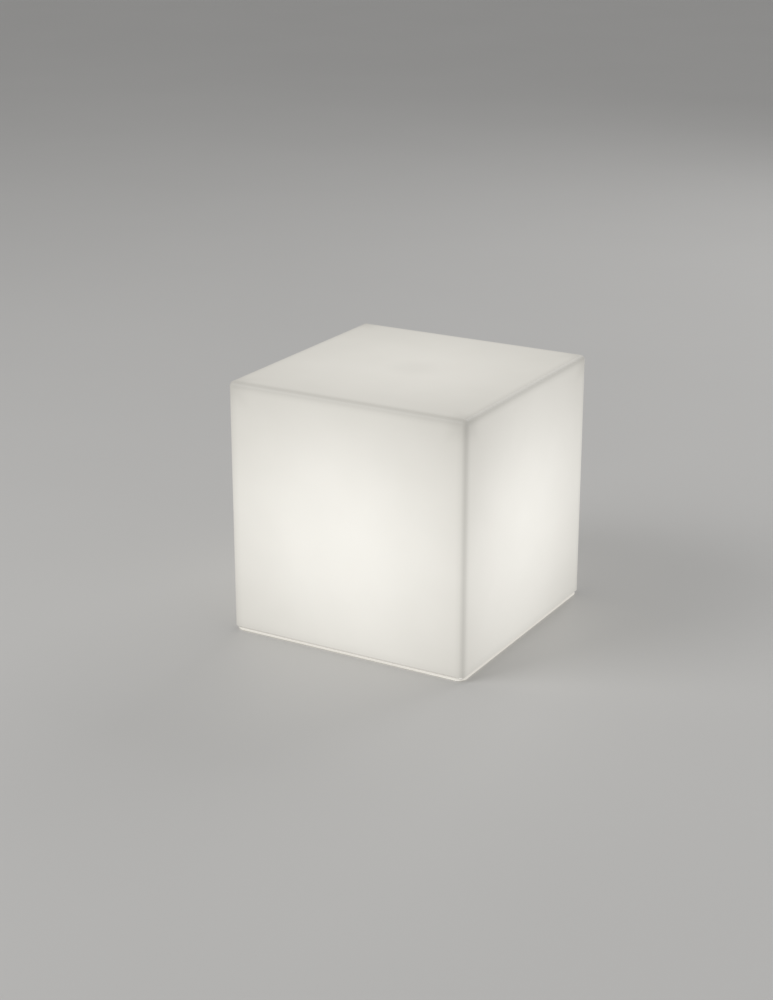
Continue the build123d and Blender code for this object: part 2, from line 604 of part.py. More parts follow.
def make_switch_plunger():
    """Plunger that the button's stem pushes up into the switch."""
    top = BOARD_BOTTOM - SWITCH_ROOF - BUTTON_TRAVEL - SLIDE
    return peg(PLUNGER_RADIUS, PLUNGER_TIP, top, BUTTON_X, BUTTON_Y)


def make_charge_socket():
    """Low-voltage socket pressed into the cover from below: round flange, square body."""
    mouth = COVER_BOTTOM - SOCKET_FLANGE
    socket = block(SOCKET_WIDTH, SOCKET_WIDTH, mouth, COVER_BOTTOM + SOCKET_LENGTH)
    socket += rod(SOCKET_FLANGE_RADIUS, mouth, COVER_BOTTOM)
    socket -= rod(SOCKET_BORE_RADIUS, mouth - 1, mouth + SOCKET_BORE_DEPTH)
    return Pos(SOCKET_X, SOCKET_Y, 0) * socket


def make_socket_pin():
    """Centre contact of the socket."""
    mouth = COVER_BOTTOM - SOCKET_FLANGE
    return peg(SOCKET_PIN_RADIUS, mouth + SOCKET_PIN_SINK, mouth + SOCKET_BORE_DEPTH, SOCKET_X, SOCKET_Y)


def make_socket_plug():
    """Rubber plug of the socket: head, finger grip, and a hollow stem round the pin."""
    seat = COVER_BOTTOM - SOCKET_FLANGE - REST_GAP
    face = seat - PLUG_HEAD
    plug = rod(PLUG_HEAD_RADIUS, face, seat)
    plug += block(PLUG_GRIP_LENGTH, PLUG_GRIP_WIDTH, face - PLUG_GRIP, face)
    plug += peg(SOCKET_BORE_RADIUS - SLIDE, seat, seat + PLUG_STEM)
    plug -= peg(SOCKET_PIN_RADIUS + SLIDE, seat + SOCKET_PIN_SINK - SLIDE, seat + PLUG_STEM + 1)
    return Pos(SOCKET_X, SOCKET_Y, 0) * plug


def make_light_pipe():
    """Clear rod that carries the status light through the cover."""
    return peg(PIPE_RADIUS, COVER_BOTTOM, BOARD_BOTTOM - STATUS_LED_HEIGHT - SLIDE, BUTTON_X, PIPE_Y)


def make_status_led():
    low = BOARD_BOTTOM - STATUS_LED_HEIGHT
    return block(STATUS_LED_WIDTH, STATUS_LED_WIDTH, low, BOARD_BOTTOM, BUTTON_X, PIPE_Y)


def make_vent_plug():
    """Breather pressed through the cover: hexagon head with a side slot, and a bore above it."""
    head = COVER_BOTTOM - VENT_HEAD
    slot = head + VENT_SKIN
    vent = peg(VENT_HEAD_RADIUS, head, COVER_BOTTOM, sides=6)
    vent += peg(VENT_SHANK_RADIUS, COVER_BOTTOM, COVER_TOP + VENT_SHANK_PROUD)
    vent -= peg(VENT_BORE_RADIUS, slot, COVER_TOP + VENT_SHANK_PROUD + 1)
    vent -= block(4 * VENT_HEAD_RADIUS, VENT_SLOT, slot, slot + VENT_SLOT_HEIGHT)
    return Pos(VENT_X, VENT_Y, 0) * vent


def make_vent_membrane():
    """Breathing disc welded over the vent's bore."""
    low = COVER_TOP + VENT_SHANK_PROUD
    radius = (VENT_BORE_RADIUS + VENT_SHANK_RADIUS) / 2
    return peg(radius, low, low + VENT_MEMBRANE, VENT_X, VENT_Y)


# ------------------------------------------------------------------ service module: board and battery
def make_control_board():
    board = block(BOARD_WIDTH, BOARD_DEPTH, BOARD_BOTTOM, BOARD_TOP, BOARD_SHIFT)
    for x, y in board_screw_points():
        board -= peg(MODULE_SCREW_RADIUS + SHANK_GAP, BOARD_BOTTOM - 1, BOARD_TOP + 1, x, y)
    return board


def make_board_components():
    """Coil, capacitor and chips on top of the board, clear of its screws and headers."""
    left = BOARD_SHIFT - BOARD_WIDTH / 4
    beside = (COIL_WIDTH / 2) + CAPACITOR_RADIUS + DROP_IN
    parts = [block(COIL_WIDTH, COIL_WIDTH, BOARD_TOP, BOARD_TOP + COIL_HEIGHT, left)]
    parts.append(peg(CAPACITOR_RADIUS, BOARD_TOP, BOARD_TOP + CAPACITOR_HEIGHT, left, beside))
    pitch = BOARD_DEPTH / (2 * len(CHIP_SIZES))
    for index, (width, depth, height) in enumerate(CHIP_SIZES):
        y = (index - (len(CHIP_SIZES) - 1) / 2) * pitch
        parts.append(block(width, depth, BOARD_TOP, BOARD_TOP + height, BOARD_SHIFT, y))
    return parts


def make_board_headers():
    """Plug-in headers at three edges of the board: battery, charging and LED."""
    edge_y = (BOARD_DEPTH - HEADER_DEPTH) / 2
    edge_x = BOARD_SHIFT + (BOARD_WIDTH - HEADER_DEPTH) / 2
    top = BOARD_TOP + HEADER_HEIGHT
    front = block(HEADER_WIDTH, HEADER_DEPTH, BOARD_TOP, top, 0, -edge_y)
    back = block(HEADER_WIDTH, HEADER_DEPTH, BOARD_TOP, top, 0, edge_y)
    return [front, back, block(HEADER_DEPTH, HEADER_WIDTH, BOARD_TOP, top, edge_x, SOCKET_Y)]


def cell_places():
    """Centres of the cells along X."""
    return [(index - (CELL_COUNT - 1) / 2) * CELL_PITCH for index in range(CELL_COUNT)]


def lying_rod(radius, length, x, z):
    """Cylinder along Y."""
    return Pos(x, 0, z) * Cylinder(radius, length, rotation=(90, 0, 0))


def make_nickel_strips():
    """Strip welded across the cells' ends, front and back."""
    low, high = CELL_AXIS - STRIP_WIDTH / 2, CELL_AXIS + STRIP_WIDTH / 2
    reach = (CELL_LENGTH + STRIP_THICKNESS) / 2
    width = PACK_WIDTH - CELL_PITCH / 2
    return [block(width, STRIP_THICKNESS, low, high, 0, side * reach) for side in (-1, 1)]


def make_protection_board():
    """Guard circuit on the front end of the pack."""
    low, high = CELL_AXIS - GUARD_HEIGHT / 2, CELL_AXIS + GUARD_HEIGHT / 2
    return block(GUARD_WIDTH, GUARD_THICKNESS, low, high, 0, -(GUARD_BACK + GUARD_FACE) / 2)


def make_battery_pad():
    """Foam between the cells and the ribs under the roof."""
    return block(PACK_WIDTH, CELL_LENGTH, PAD_BOTTOM, PAD_TOP)


def make_battery_clamp():
    """Bar below the cells, scalloped to their curve, screwed to two bosses."""
    length = 2 * (CLAMP_BOSS_X + MODULE_BOSS_RADIUS)
    clamp = block(length, CLAMP_DEPTH, CLAMP_BOTTOM, CLAMP_TOP)
    clamp += block(PACK_WIDTH - CELL_PITCH, CLAMP_DEPTH, CLAMP_BOTTOM, CLAMP_TOP + CLAMP_SADDLE)
    for x in cell_places():
        clamp -= lying_rod(CELL_DIAMETER / 2 + FIT, 2 * CLAMP_DEPTH, x, CELL_AXIS)
    for x, y in clamp_screw_points():
        clamp -= peg(MODULE_SCREW_RADIUS + SHANK_GAP, CLAMP_BOTTOM - 1, CLAMP_TOP + 1, x, y)
    return clamp


def make_battery_lead():
    """From the protection board down to the front header."""
    out = GUARD_FACE + LEAD_OUT
    route = [(0, -GUARD_FACE, CELL_AXIS), (0, -out, CELL_AXIS), (0, -out, MOUTH)]
    return lead(route + [(0, -BOARD_DEPTH / 2, MOUTH)], across=(1, 0, 0))


def make_charge_lead():
    """From the back of the charging socket to the right header."""
    top = COVER_BOTTOM + SOCKET_LENGTH
    edge = BOARD_SHIFT + BOARD_WIDTH / 2
    route = [(SOCKET_X, SOCKET_Y, top), (SOCKET_X, SOCKET_Y, MOUTH), (edge, SOCKET_Y, MOUTH)]
    return lead(route, across=(0, 1, 0))


def make_led_lead():
    """From the back header round the pack, over it, and up inside the column."""
    out = HOUSING_HALF - LEAD_WALL_GAP
    over = PAD_TOP + LEAD_THICKNESS
    route = [(0, BOARD_DEPTH / 2, MOUTH), (0, out, MOUTH), (0, out, over)]
    route += [(0, LEAD_Y, over), (0, LEAD_Y, SINK_TOP)]
    return lead(route, across=(1, 0, 0), largest=ROOF_BOTTOM - GROMMET_FLANGE - over)


def grommet_body():
    """Width and depth of the grommet in its hole."""
    return LEAD_WIDTH + 2 * GROMMET_WALL, LEAD_THICKNESS + 2 * GROMMET_WALL


def make_lead_grommet():
    """Rubber grommet in the roof, where the LED lead goes up."""
    width, depth = grommet_body()
    lip = 2 * GROMMET_LIP
    grommet = block(width, depth, ROOF_BOTTOM - GROMMET_FLANGE, ROOF_TOP)
    grommet += block(width + lip, depth + lip, ROOF_BOTTOM - GROMMET_FLANGE, ROOF_BOTTOM)
    slot_width, slot_depth = LEAD_WIDTH + 2 * FIT, LEAD_THICKNESS + 2 * FIT
    grommet -= block(slot_width, slot_depth, ROOF_BOTTOM - GROMMET_FLANGE - 1, ROOF_TOP + 1)
    return Pos(0, LEAD_Y, 0) * grommet


# ------------------------------------------------------------------ light column
def column_holes(low, high):
    """Round hole for the tie rod and slot for the lead."""
    width, depth = LEAD_WIDTH + 2 * DROP_IN, LEAD_THICKNESS + 2 * DROP_IN
    slot = block(width, depth, low - 1, high + 1, 0, LEAD_Y)
    return slot + peg(ROD_RADIUS + FIT, low - 1, high + 1)


def make_led_post():
    """Square aluminium post: foot plate, hollow stem with bevelled edges, and head plate."""
    head_bottom = DISH_BOTTOM - POST_HEAD
    post = cut_slab(POST_HALF, POST_OUTLINE, ROOF_TOP, DISH_BOTTOM)
    post += cut_slab(POST_FOOT_HALF, POST_OUTLINE, ROOF_TOP, ROOF_TOP + POST_FOOT)
    post += cut_slab(POST_HALF + POST_HEAD_WIDTH, POST_OUTLINE, head_bottom, DISH_BOTTOM)
    post -= block(2 * BORE_HALF, 2 * BORE_HALF, ROOF_TOP - 1, head_bottom)
    return post - column_holes(head_bottom, DISH_BOTTOM)


def make_lamp_dish():
    """White dish that carries heat sink and tube."""
    rim_top = SINK_BOTTOM + DISH_RIM
    dish = bevel_bottom(cut_slab(DISH_HALF, TUBE_OUTLINE, DISH_BOTTOM, rim_top), DISH_BEVEL)
    dish -= cut_slab(TUBE_HALF + FIT, TUBE_OUTLINE, SINK_BOTTOM, rim_top + 1)
    return dish - column_holes(DISH_BOTTOM, SINK_BOTTOM)


def make_heat_sink():
    """Extruded post with a recess for a board on each side and slots in its corners."""
    section = Rectangle(2 * SINK_HALF, 2 * SINK_HALF)
    recess = Rectangle(2 * SINK_RECESS, LED_BOARD_WIDTH + 2 * FIT)
    slot_start = SINK_HALF * 2**0.5 - SINK_SLOT_DEPTH
    slot = Pos(slot_start + SINK_HALF / 2, 0) * Rectangle(SINK_HALF, SINK_SLOT)
    for side in range(4):
        section -= Rot(0, 0, 90 * side) * Pos(SINK_HALF, 0) * recess
        for index in range(SINK_SLOTS_PER_CORNER):
            fan = (index - (SINK_SLOTS_PER_CORNER - 1) / 2) * SINK_SLOT_ANGLE
            section -= Rot(0, 0, 90 * side + 45 + fan) * slot
    section -= Rectangle(2 * BORE_HALF, 2 * BORE_HALF)
    return Pos(0, 0, SINK_BOTTOM) * extrude(section, SINK_TOP - SINK_BOTTOM)


def make_led_board(angle):
    """Metal-core board in its recess, facing one wall of the hood."""
    middle = SINK_HALF - SINK_RECESS + LED_BOARD_THICKNESS / 2
    low = LAMP_CENTRE_HEIGHT - LED_BOARD_LENGTH / 2
    board = block(LED_BOARD_THICKNESS, LED_BOARD_WIDTH, low, low + LED_BOARD_LENGTH, middle)
    return Rot(0, 0, angle) * board


def make_led_chips():
    """Grid of light-emitting diodes on all four boards."""
    chips = []
    pitch = LED_BOARD_LENGTH / LED_ROWS
    for angle in (0, 90, 180, 270):
        for row in range(LED_ROWS):
            z = LAMP_CENTRE_HEIGHT + (row - (LED_ROWS - 1) / 2) * pitch
            for column in range(LED_COLUMNS):
                y = (column - (LED_COLUMNS - 1) / 2) * LED_COLUMN_PITCH
                chip = Pos(LED_FACE + LED_HEIGHT / 2, y, z) * Box(LED_HEIGHT, LED_WIDTH, LED_LENGTH)
                chips.append(Rot(0, 0, angle) * chip)
    return chips


def make_link_board():
    """Square board on the heat sink, soldered to the upper ends of the four LED boards."""
    board = block(2 * LED_FACE, 2 * LED_FACE, SINK_TOP, LINK_TOP)
    board = chamfer(board.edges().filter_by(Axis.Z), LED_FACE - LED_BOARD_WIDTH / 2)
    return board - peg(ROD_RADIUS + FIT, SINK_TOP - 1, LINK_TOP + 1)


def make_diffuser_tube():
    """Opal sleeve with bevelled corners, standing in the dish."""
    tube = cut_slab(TUBE_HALF, TUBE_OUTLINE, SINK_BOTTOM, CAP_BOTTOM)
    return tube - cut_slab(TUBE_HALF - TUBE_WALL, TUBE_OUTLINE, SINK_BOTTOM - 1, CAP_BOTTOM + 1)


def make_lamp_cap():
    """Opaque lid with a skirt round the tube and a boss on the link board."""
    skirt_bottom = CAP_BOTTOM - DISH_RIM
    cap = bevel_top(cut_slab(DISH_HALF, TUBE_OUTLINE, skirt_bottom, CAP_TOP), CAP_BEVEL)
    cap -= cut_slab(TUBE_HALF + FIT, TUBE_OUTLINE, skirt_bottom - 1, CAP_BOTTOM)
    cap += block(CAP_BOSS_WIDTH, CAP_BOSS_WIDTH, LINK_TOP, CAP_BOTTOM + FIT)
    return cap - peg(ROD_RADIUS + FIT, LINK_TOP - 1, CAP_TOP + 1)


def make_tie_rod():
    """Rod that clamps roof, post, dish, heat sink, link board and cap."""
    return peg(ROD_RADIUS, ROOF_BOTTOM - NUT_HEIGHT - ROD_END, CAP_TOP + NUT_HEIGHT + ROD_END)


def make_tie_nuts():
    nut = peg(NUT_REACH, 0, NUT_HEIGHT, sides=6) - peg(ROD_RADIUS + FIT, -1, NUT_HEIGHT + 1)
    return [Pos(0, 0, ROOF_BOTTOM - NUT_HEIGHT) * nut, Pos(0, 0, CAP_TOP) * nut]


# ------------------------------------------------------------------ write every piece
write("cube_shell", make_cube_shell())
write("shell_inserts", *make_shell_inserts())
write("base_plate", make_base_plate())
write("base_seal", make_base_seal())
write("base_screws", *make_base_screws())
for name, (x, y) in zip(("front_left", "back_left", "front_right", "back_right"), foot_points()):
    write(f"foot_{name}", foot_pad(x, y, 0, 0))

write("module_housing", make_module_housing())
write("flange_seal", make_gasket(FLANGE_TOP))
write("module_cover", make_module_cover())
write("cover_seal", make_gasket(COVER_TOP))
write("cover_screws", *make_cover_screws())
write("module_screws", *make_module_screws())
write("power_button", make_power_button())
write("switch_body", make_switch_body())
write("switch_plunger", make_switch_plunger())
write("charge_socket", make_charge_socket())
write("socket_pin", make_socket_pin())
write("socket_plug", make_socket_plug())
write("light_pipe", make_light_pipe())
write("status_led", make_status_led())
write("vent_plug", make_vent_plug())
write("vent_membrane", make_vent_membrane())

write("control_board", make_control_board())
write("board_components", *make_board_components())
write("board_headers", *make_board_headers())
for index, x in enumerate(cell_places()):
    write(f"battery_cell_{index + 1}", lying_rod(CELL_DIAMETER / 2, CELL_LENGTH, x, CELL_AXIS))
write("nickel_strips", *make_nickel_strips())
write("protection_board", make_protection_board())
write("battery_pad", make_battery_pad())
write("battery_clamp", make_battery_clamp())
for name, (piece, radius) in (
    ("battery_lead", make_battery_lead()),
    ("charge_lead", make_charge_lead()),
    ("led_lead", make_led_lead()),
):
    write(name, piece)
    print(name, "smallest bend radius", round(radius, 2))
write("lead_grommet", make_lead_grommet())

write("led_post", make_led_post())
write("lamp_dish", make_lamp_dish())
write("heat_sink", make_heat_sink())
for name, angle in (("right", 0), ("back", 90), ("left", 180), ("front", 270)):
    write(f"led_board_{name}", make_led_board(angle))
write("led_chips", *make_led_chips())
write("link_board", make_link_board())
write("diffuser_tube", make_diffuser_tube())
write("lamp_cap", make_lamp_cap())
write("tie_rod", make_tie_rod())
write("tie_nuts", *make_tie_nuts())
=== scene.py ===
# %% [markdown]
# # A glowing cube light, dressed for its picture
#
# The solids of this lamp come from the CAD model: an opal hood on a low base plate, and inside it
# a sealed service module and an upright column of light-emitting diodes. This script gives every
# one of them its real finish, adds the small repeated details with Geometry Nodes, and sets a
# plain studio round it. The frame is loaded first, because everything else is placed by it.

# %% Load the frame
import math

import bmesh
import bpy
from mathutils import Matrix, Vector


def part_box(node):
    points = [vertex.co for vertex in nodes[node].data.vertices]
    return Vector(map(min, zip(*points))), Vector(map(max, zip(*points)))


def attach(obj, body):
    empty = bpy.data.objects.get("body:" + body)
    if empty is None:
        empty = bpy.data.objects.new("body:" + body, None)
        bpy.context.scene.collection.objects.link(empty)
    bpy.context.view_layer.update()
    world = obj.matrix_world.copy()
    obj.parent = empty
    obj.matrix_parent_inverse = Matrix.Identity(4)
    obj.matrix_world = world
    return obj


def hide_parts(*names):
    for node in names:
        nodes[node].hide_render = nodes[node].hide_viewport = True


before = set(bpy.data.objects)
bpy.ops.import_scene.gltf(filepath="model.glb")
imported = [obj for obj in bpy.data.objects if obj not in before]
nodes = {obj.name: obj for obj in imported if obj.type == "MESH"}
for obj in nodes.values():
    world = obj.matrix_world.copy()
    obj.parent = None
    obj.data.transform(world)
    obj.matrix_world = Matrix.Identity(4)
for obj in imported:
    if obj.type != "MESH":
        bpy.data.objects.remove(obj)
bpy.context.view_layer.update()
MM = 0.001


# %% [markdown]
# ## Helpers for colours and nodes
#
# Colours are written as the six-digit codes of a colour picker. Shaders calculate with linear
# light, so one function turns a code into linear values. One more builds every node tree, of
# shaders and Geometry Nodes alike: it adds a node, sets its properties and fills its sockets. A
# socket gets a value, an output, or a whole node, whose first output is then linked.


# %% Colour and node helpers
# Kinds of node that are used most
MATH, VECTOR_MATH, MAP_RANGE = "ShaderNodeMath", "ShaderNodeVectorMath", "ShaderNodeMapRange"
MIX, NOISE, BUMP = "ShaderNodeMix", "ShaderNodeTexNoise", "ShaderNodeBump"


def tint(code):
    """Linear values of a six-digit sRGB colour code."""
    parts = [int(code[start : start + 2], 16) / 255 for start in (1, 3, 5)]
    linear = [part / 12.92 if part <= 0.04045 else ((part + 0.055) / 1.055) ** 2.4 for part in parts]
    return (*linear, 1.0)


def feed(tree, source, node, socket):
    """Links an output, or the first output of a node, to a socket."""
    if isinstance(source, bpy.types.Node):
        source = source.outputs[0]
    tree.links.new(source, node.inputs[socket])


def add(tree, kind, sockets=None, **properties):
    """Adds a node. Sockets are given by name or number, each as a value, an output or a node."""
    node = tree.nodes.new(kind)
    for name, value in properties.items():
        setattr(node, name, value)
    for key, value in (sockets or {}).items():
        if isinstance(value, (bpy.types.Node, bpy.types.NodeSocket)):
            feed(tree, value, node, key)
        else:
            node.inputs[key].default_value = value
    return node


# %% [markdown]
# Every material starts in the same way: a Principled shader, and Object coordinates for its
# patterns. No real surface has one even colour, so most materials then mix two close colours by a
# noise, whose size is given in millimetres. The last helper puts a material on CAD nodes.


# %% Helpers for materials
def new_material(name, sockets=None):
    """Starts a material. Gives the material, its tree, its shader and Object coordinates."""
    material = bpy.data.materials.new(name)
    material.use_nodes = True
    tree = material.node_tree
    tree.nodes.clear()
    shader = add(tree, "ShaderNodeBsdfPrincipled", sockets)
    add(tree, "ShaderNodeOutputMaterial", {"Surface": shader})
    return material, tree, shader, add(tree, "ShaderNodeTexCoord").outputs["Object"]


def mottle(tree, shader, vector, size, dark, light, **noise):
    """Mixes two colours by a noise of a size in mm. Gives the noise, which other sockets may use."""
    cloud = add(tree, NOISE, {"Vector": vector, "Scale": 1 / (size * MM), **noise})
    colour = add(tree, MIX, {0: cloud, 6: dark, 7: light}, data_type="RGBA")
    feed(tree, colour.outputs[2], shader, "Base Color")
    return cloud


def dress(material, *names):
    """Gives CAD nodes their finish."""
    for name in names:
        mesh = nodes[name].data
        mesh.materials.clear()
        mesh.materials.append(material)
    print(material.name, "on", ", ".join(names))


# %% [markdown]
# ## Camera
#
# The picture was taken a little above the lamp, towards one of its upright edges. The camera's
# place, turn and focal length come from the corners of the cube in the picture. A camera in
# Blender looks down its own -Z axis, so it is pitched up from there by 90 degrees minus the
# downward tilt, and then turned about the upright axis.

# %% Camera
FRAME_HEIGHT = 1000  # pixels, the taller side of the picture
FOCAL_PIXELS = 1977.0
CAMERA_PLACE = (1.408, -2.527, 1.222)
CAMERA_YAW = 29.87
CAMERA_PITCH = -19.70

camera_data = bpy.data.cameras.new("camera")
camera_data.sensor_width = 36.0
camera_data.lens = FOCAL_PIXELS / FRAME_HEIGHT * camera_data.sensor_width
camera_data.clip_end = 200.0
camera = bpy.data.objects.new("camera", camera_data)
camera.location = CAMERA_PLACE
camera.rotation_euler = (math.radians(90 + CAMERA_PITCH), 0, math.radians(CAMERA_YAW))
bpy.context.scene.collection.objects.link(camera)
bpy.context.scene.camera = camera
bpy.context.scene.view_settings.view_transform = "Standard"
print("lens:", round(camera_data.lens, 2), "mm")

# %% [markdown]
# ## Floor, backdrop and light
#
# The lamp is pale and shines by itself, so the studio stays quiet: a matte floor that is dark
# enough to let the hood stand out, an even world light, and one large soft lamp at the upper left
# with a weaker one at the right and one behind. The world shows the camera about the floor's own
# grey, so the horizon hardly shows. Seen from below, the floor lets the camera through, because
# the underside with its button and socket is worth a look too.

# %% Floor
FLOOR_HALF = 60.0
CORNERS = [(-1, -1), (1, -1), (1, 1), (-1, 1)]

floor_material, tree, shader, place = new_material(
    "matte studio floor", {"Roughness": 0.55, "Specular IOR Level": 0.3}
)
mottle(tree, shader, place, 667, tint("#C5C4C2"), tint("#C9C8C6"), Detail=4.0)
from_below = add(tree, "ShaderNodeNewGeometry").outputs["Backfacing"]
looking = add(tree, "ShaderNodeLightPath").outputs["Is Camera Ray"]
hidden = add(tree, MATH, {0: from_below, 1: looking}, operation="MULTIPLY")
see_through = add(tree, "ShaderNodeBsdfTransparent")
sides = add(tree, "ShaderNodeMixShader", {0: hidden, 1: shader, 2: see_through})
feed(tree, sides, tree.nodes["Material Output"], "Surface")

floor_mesh = bpy.data.meshes.new("floor")
floor_corners = [(x * FLOOR_HALF, y * FLOOR_HALF, 0) for x, y in CORNERS]
floor_mesh.from_pydata(floor_corners, [], [(0, 1, 2, 3)])
floor_mesh.materials.append(floor_material)
floor = bpy.data.objects.new("floor", floor_mesh)
bpy.context.scene.collection.objects.link(floor)
print("floor:", 2 * FLOOR_HALF, "m wide")

# %% World
WORLD_LEVEL = 0.47  # even light from all round, 1 would light a white card to white
BACKDROP_LEVEL = 0.27  # what the camera, gloss and clear plastic see behind the floor's edge

world = bpy.data.worlds.new("soft studio")
world.use_nodes = True
tree = world.node_tree
tree.nodes.clear()
path = add(tree, "ShaderNodeLightPath").outputs
seen = path["Is Camera Ray"]
for ray in ("Is Glossy Ray", "Is Transmission Ray"):
    seen = add(tree, MATH, {0: seen, 1: path[ray]}, operation="MAXIMUM")
level = add(tree, MAP_RANGE, {"Value": seen, "To Min": WORLD_LEVEL, "To Max": BACKDROP_LEVEL})
sky = add(tree, "ShaderNodeBackground", {"Color": tint("#FDFDFD"), "Strength": level})
add(tree, "ShaderNodeOutputWorld", {"Surface": sky})
bpy.context.scene.world = world
print("world level:", WORLD_LEVEL)

# %% Lamps
TARGET = Vector((0, 0, 0.2))
LAMP_SIZE = 2.4


def soft_lamp(name, spot, size, watts):
    """Square area lamp that is turned towards the middle of the cube."""
    data = bpy.data.lights.new(name, "AREA")
    data.size = size
    data.energy = watts
    lamp = bpy.data.objects.new(name, data)
    lamp.location = spot
    lamp.rotation_euler = (TARGET - Vector(spot)).to_track_quat("-Z", "Y").to_euler()
    bpy.context.scene.collection.objects.link(lamp)
    print("lamp", name, watts, "W")
    return lamp


soft_lamp("key", (-2.2, -2.6, 3.0), LAMP_SIZE, 66.0)
soft_lamp("fill", (3.2, -1.2, 2.2), LAMP_SIZE, 8.0)
soft_lamp("back", (0.5, 3.4, 2.6), LAMP_SIZE, 34.0)

# %% [markdown]
# The underside stands a few millimetres above the floor and would be black from below. A small
# lamp under the floor shines up at it. The floor is left out of what blocks that lamp, which is
# called shadow linking. The lamp is narrower than the cube, so it never reaches the sides.

# %% Lamp below
lamp_below = soft_lamp("below", (0, 0, -0.7), 0.34, 3.2)
lets_through = bpy.data.collections.new("lets the lamp below through")
lets_through.objects.link(floor)
lets_through.collection_objects[0].light_linking.link_state = "EXCLUDE"
lamp_below.light_linking.blocker_collection = lets_through

# %% [markdown]
# ## The hood: rotomoulded opal polyethylene
#
# Powder melts inside a turning mould and lines it with an even wall, so the hood has soft edges
# and a fine satin skin. Light comes through the wall, it doesn't come from it. To the eye it is
# brightest where the lamp column stands closest behind a wall. From there it fades in a broad bell
# curve and never gets dark, because the white inside throws the light about. The wall is thicker
# along the rounded edges and in the corners, which draws a darker line there. Over the column the
# opaque cap leaves a faint shade.
#
# Light that is traced through the wall would be slow and noisy, and lost in an exported model. So
# the glow is calculated from the place on the hood, as light that the surface gives off: an even
# part, and a part that follows the lamp.

# %% Hood: where on the hood am I?
CUBE_HALF = 0.200
CUBE_TOP = 0.400
EDGE_RADIUS = 0.008

hood_material, tree, shader, place = new_material("rotomoulded opal polyethylene, lit", {"Roughness": 0.50})
axes = add(tree, "ShaderNodeSeparateXYZ", {0: place}).outputs
normal = add(tree, "ShaderNodeNewGeometry").outputs["Normal"]
facing_up = add(tree, "ShaderNodeSeparateXYZ", {0: normal}).outputs["Z"]
reach = []
for axis, face in (("X", CUBE_HALF), ("Y", CUBE_HALF), ("Z", CUBE_TOP)):
    outward = add(tree, MATH, {0: axes[axis]}, operation="ABSOLUTE")
    flat = face - EDGE_RADIUS
    reach.append(add(tree, MATH, {0: outward, 1: flat}, operation="SUBTRACT"))
print("edge zone starts", EDGE_RADIUS, "m inside the faces")

# %% [markdown]
# Each of the three values in `reach` says how far a point lies beyond the flat part of the cube
# along one axis. On a face only one of them is above zero. On a rounded edge two are, and the
# smaller of these two says how close the middle of the edge is. In a corner all three are. The
# top edges are drawn a little wider and lighter than the upright ones.

# %% Hood: edges and corners
RIDGE_MIDDLE = 5.6 * MM  # what the smaller value reaches at the middle of a rounded edge

upright_edge = add(tree, MATH, {0: reach[0], 1: reach[1]}, operation="MINIMUM")
farther = add(tree, MATH, {0: reach[0], 1: reach[1]}, operation="MAXIMUM")
top_edge = add(tree, MATH, {0: farther, 1: reach[2]}, operation="MINIMUM")
any_edge = add(tree, MATH, {0: upright_edge, 1: top_edge}, operation="MAXIMUM")
in_corner = add(tree, MATH, {0: upright_edge, 1: reach[2]}, operation="MINIMUM")
ridges = []
for distance, start, darkest in ((upright_edge, 0.0, 0.80), (top_edge, -2 * MM, 0.82)):
    limits = {"From Min": start, "From Max": RIDGE_MIDDLE, "To Min": 1.0, "To Max": darkest}
    ridges.append(add(tree, MAP_RANGE, {"Value": distance, **limits}))
ridge = add(tree, MATH, {0: ridges[0], 1: ridges[1]}, operation="MINIMUM")
print("ridges:", len(ridges))

# %% Hood: light of the column on the wall
GLOW_CENTRE = 0.185  # a little over the middle of the diodes, because the sole below them is dark
BELL_WIDTH, BELL_HEIGHT = 0.32, 0.27  # distances at which the light is down to about a third
EVEN_GLOW, LAMP_GLOW = 0.25, 0.48

from_lamp = add(tree, VECTOR_MATH, {0: place, 1: (0, 0, GLOW_CENTRE)}, operation="SUBTRACT")
bell_size = (BELL_WIDTH, BELL_WIDTH, BELL_HEIGHT)
in_bells = add(tree, VECTOR_MATH, {0: from_lamp, 1: bell_size}, operation="DIVIDE")
squared = add(tree, VECTOR_MATH, {0: in_bells, 1: in_bells}, operation="DOT_PRODUCT")
peak = (CUBE_HALF / BELL_WIDTH) ** 2  # of the square, at the middle of a wall
below_peak = add(tree, MATH, {0: peak, 1: squared.outputs["Value"]}, operation="SUBTRACT")
bell = add(tree, MATH, {0: below_peak}, operation="EXPONENT")
# The cap keeps the column's light off the top, so it counts by half there.
limits = {"From Min": 0.1, "From Max": 0.9, "To Min": 1.0, "To Max": 0.5}
capped = add(tree, MAP_RANGE, {"Value": facing_up, **limits})
lit = add(tree, MATH, {0: bell, 1: capped}, operation="MULTIPLY")
glow = add(tree, MATH, {0: lit, 1: LAMP_GLOW, 2: EVEN_GLOW}, operation="MULTIPLY_ADD")
print("glow of the hood:", EVEN_GLOW, "even and up to", LAMP_GLOW, "from the lamp")

# %% [markdown]
# Several things then change the glow. Each row of the table names what is measured, where its
# effect begins and ends, and the share of the light at both ends.

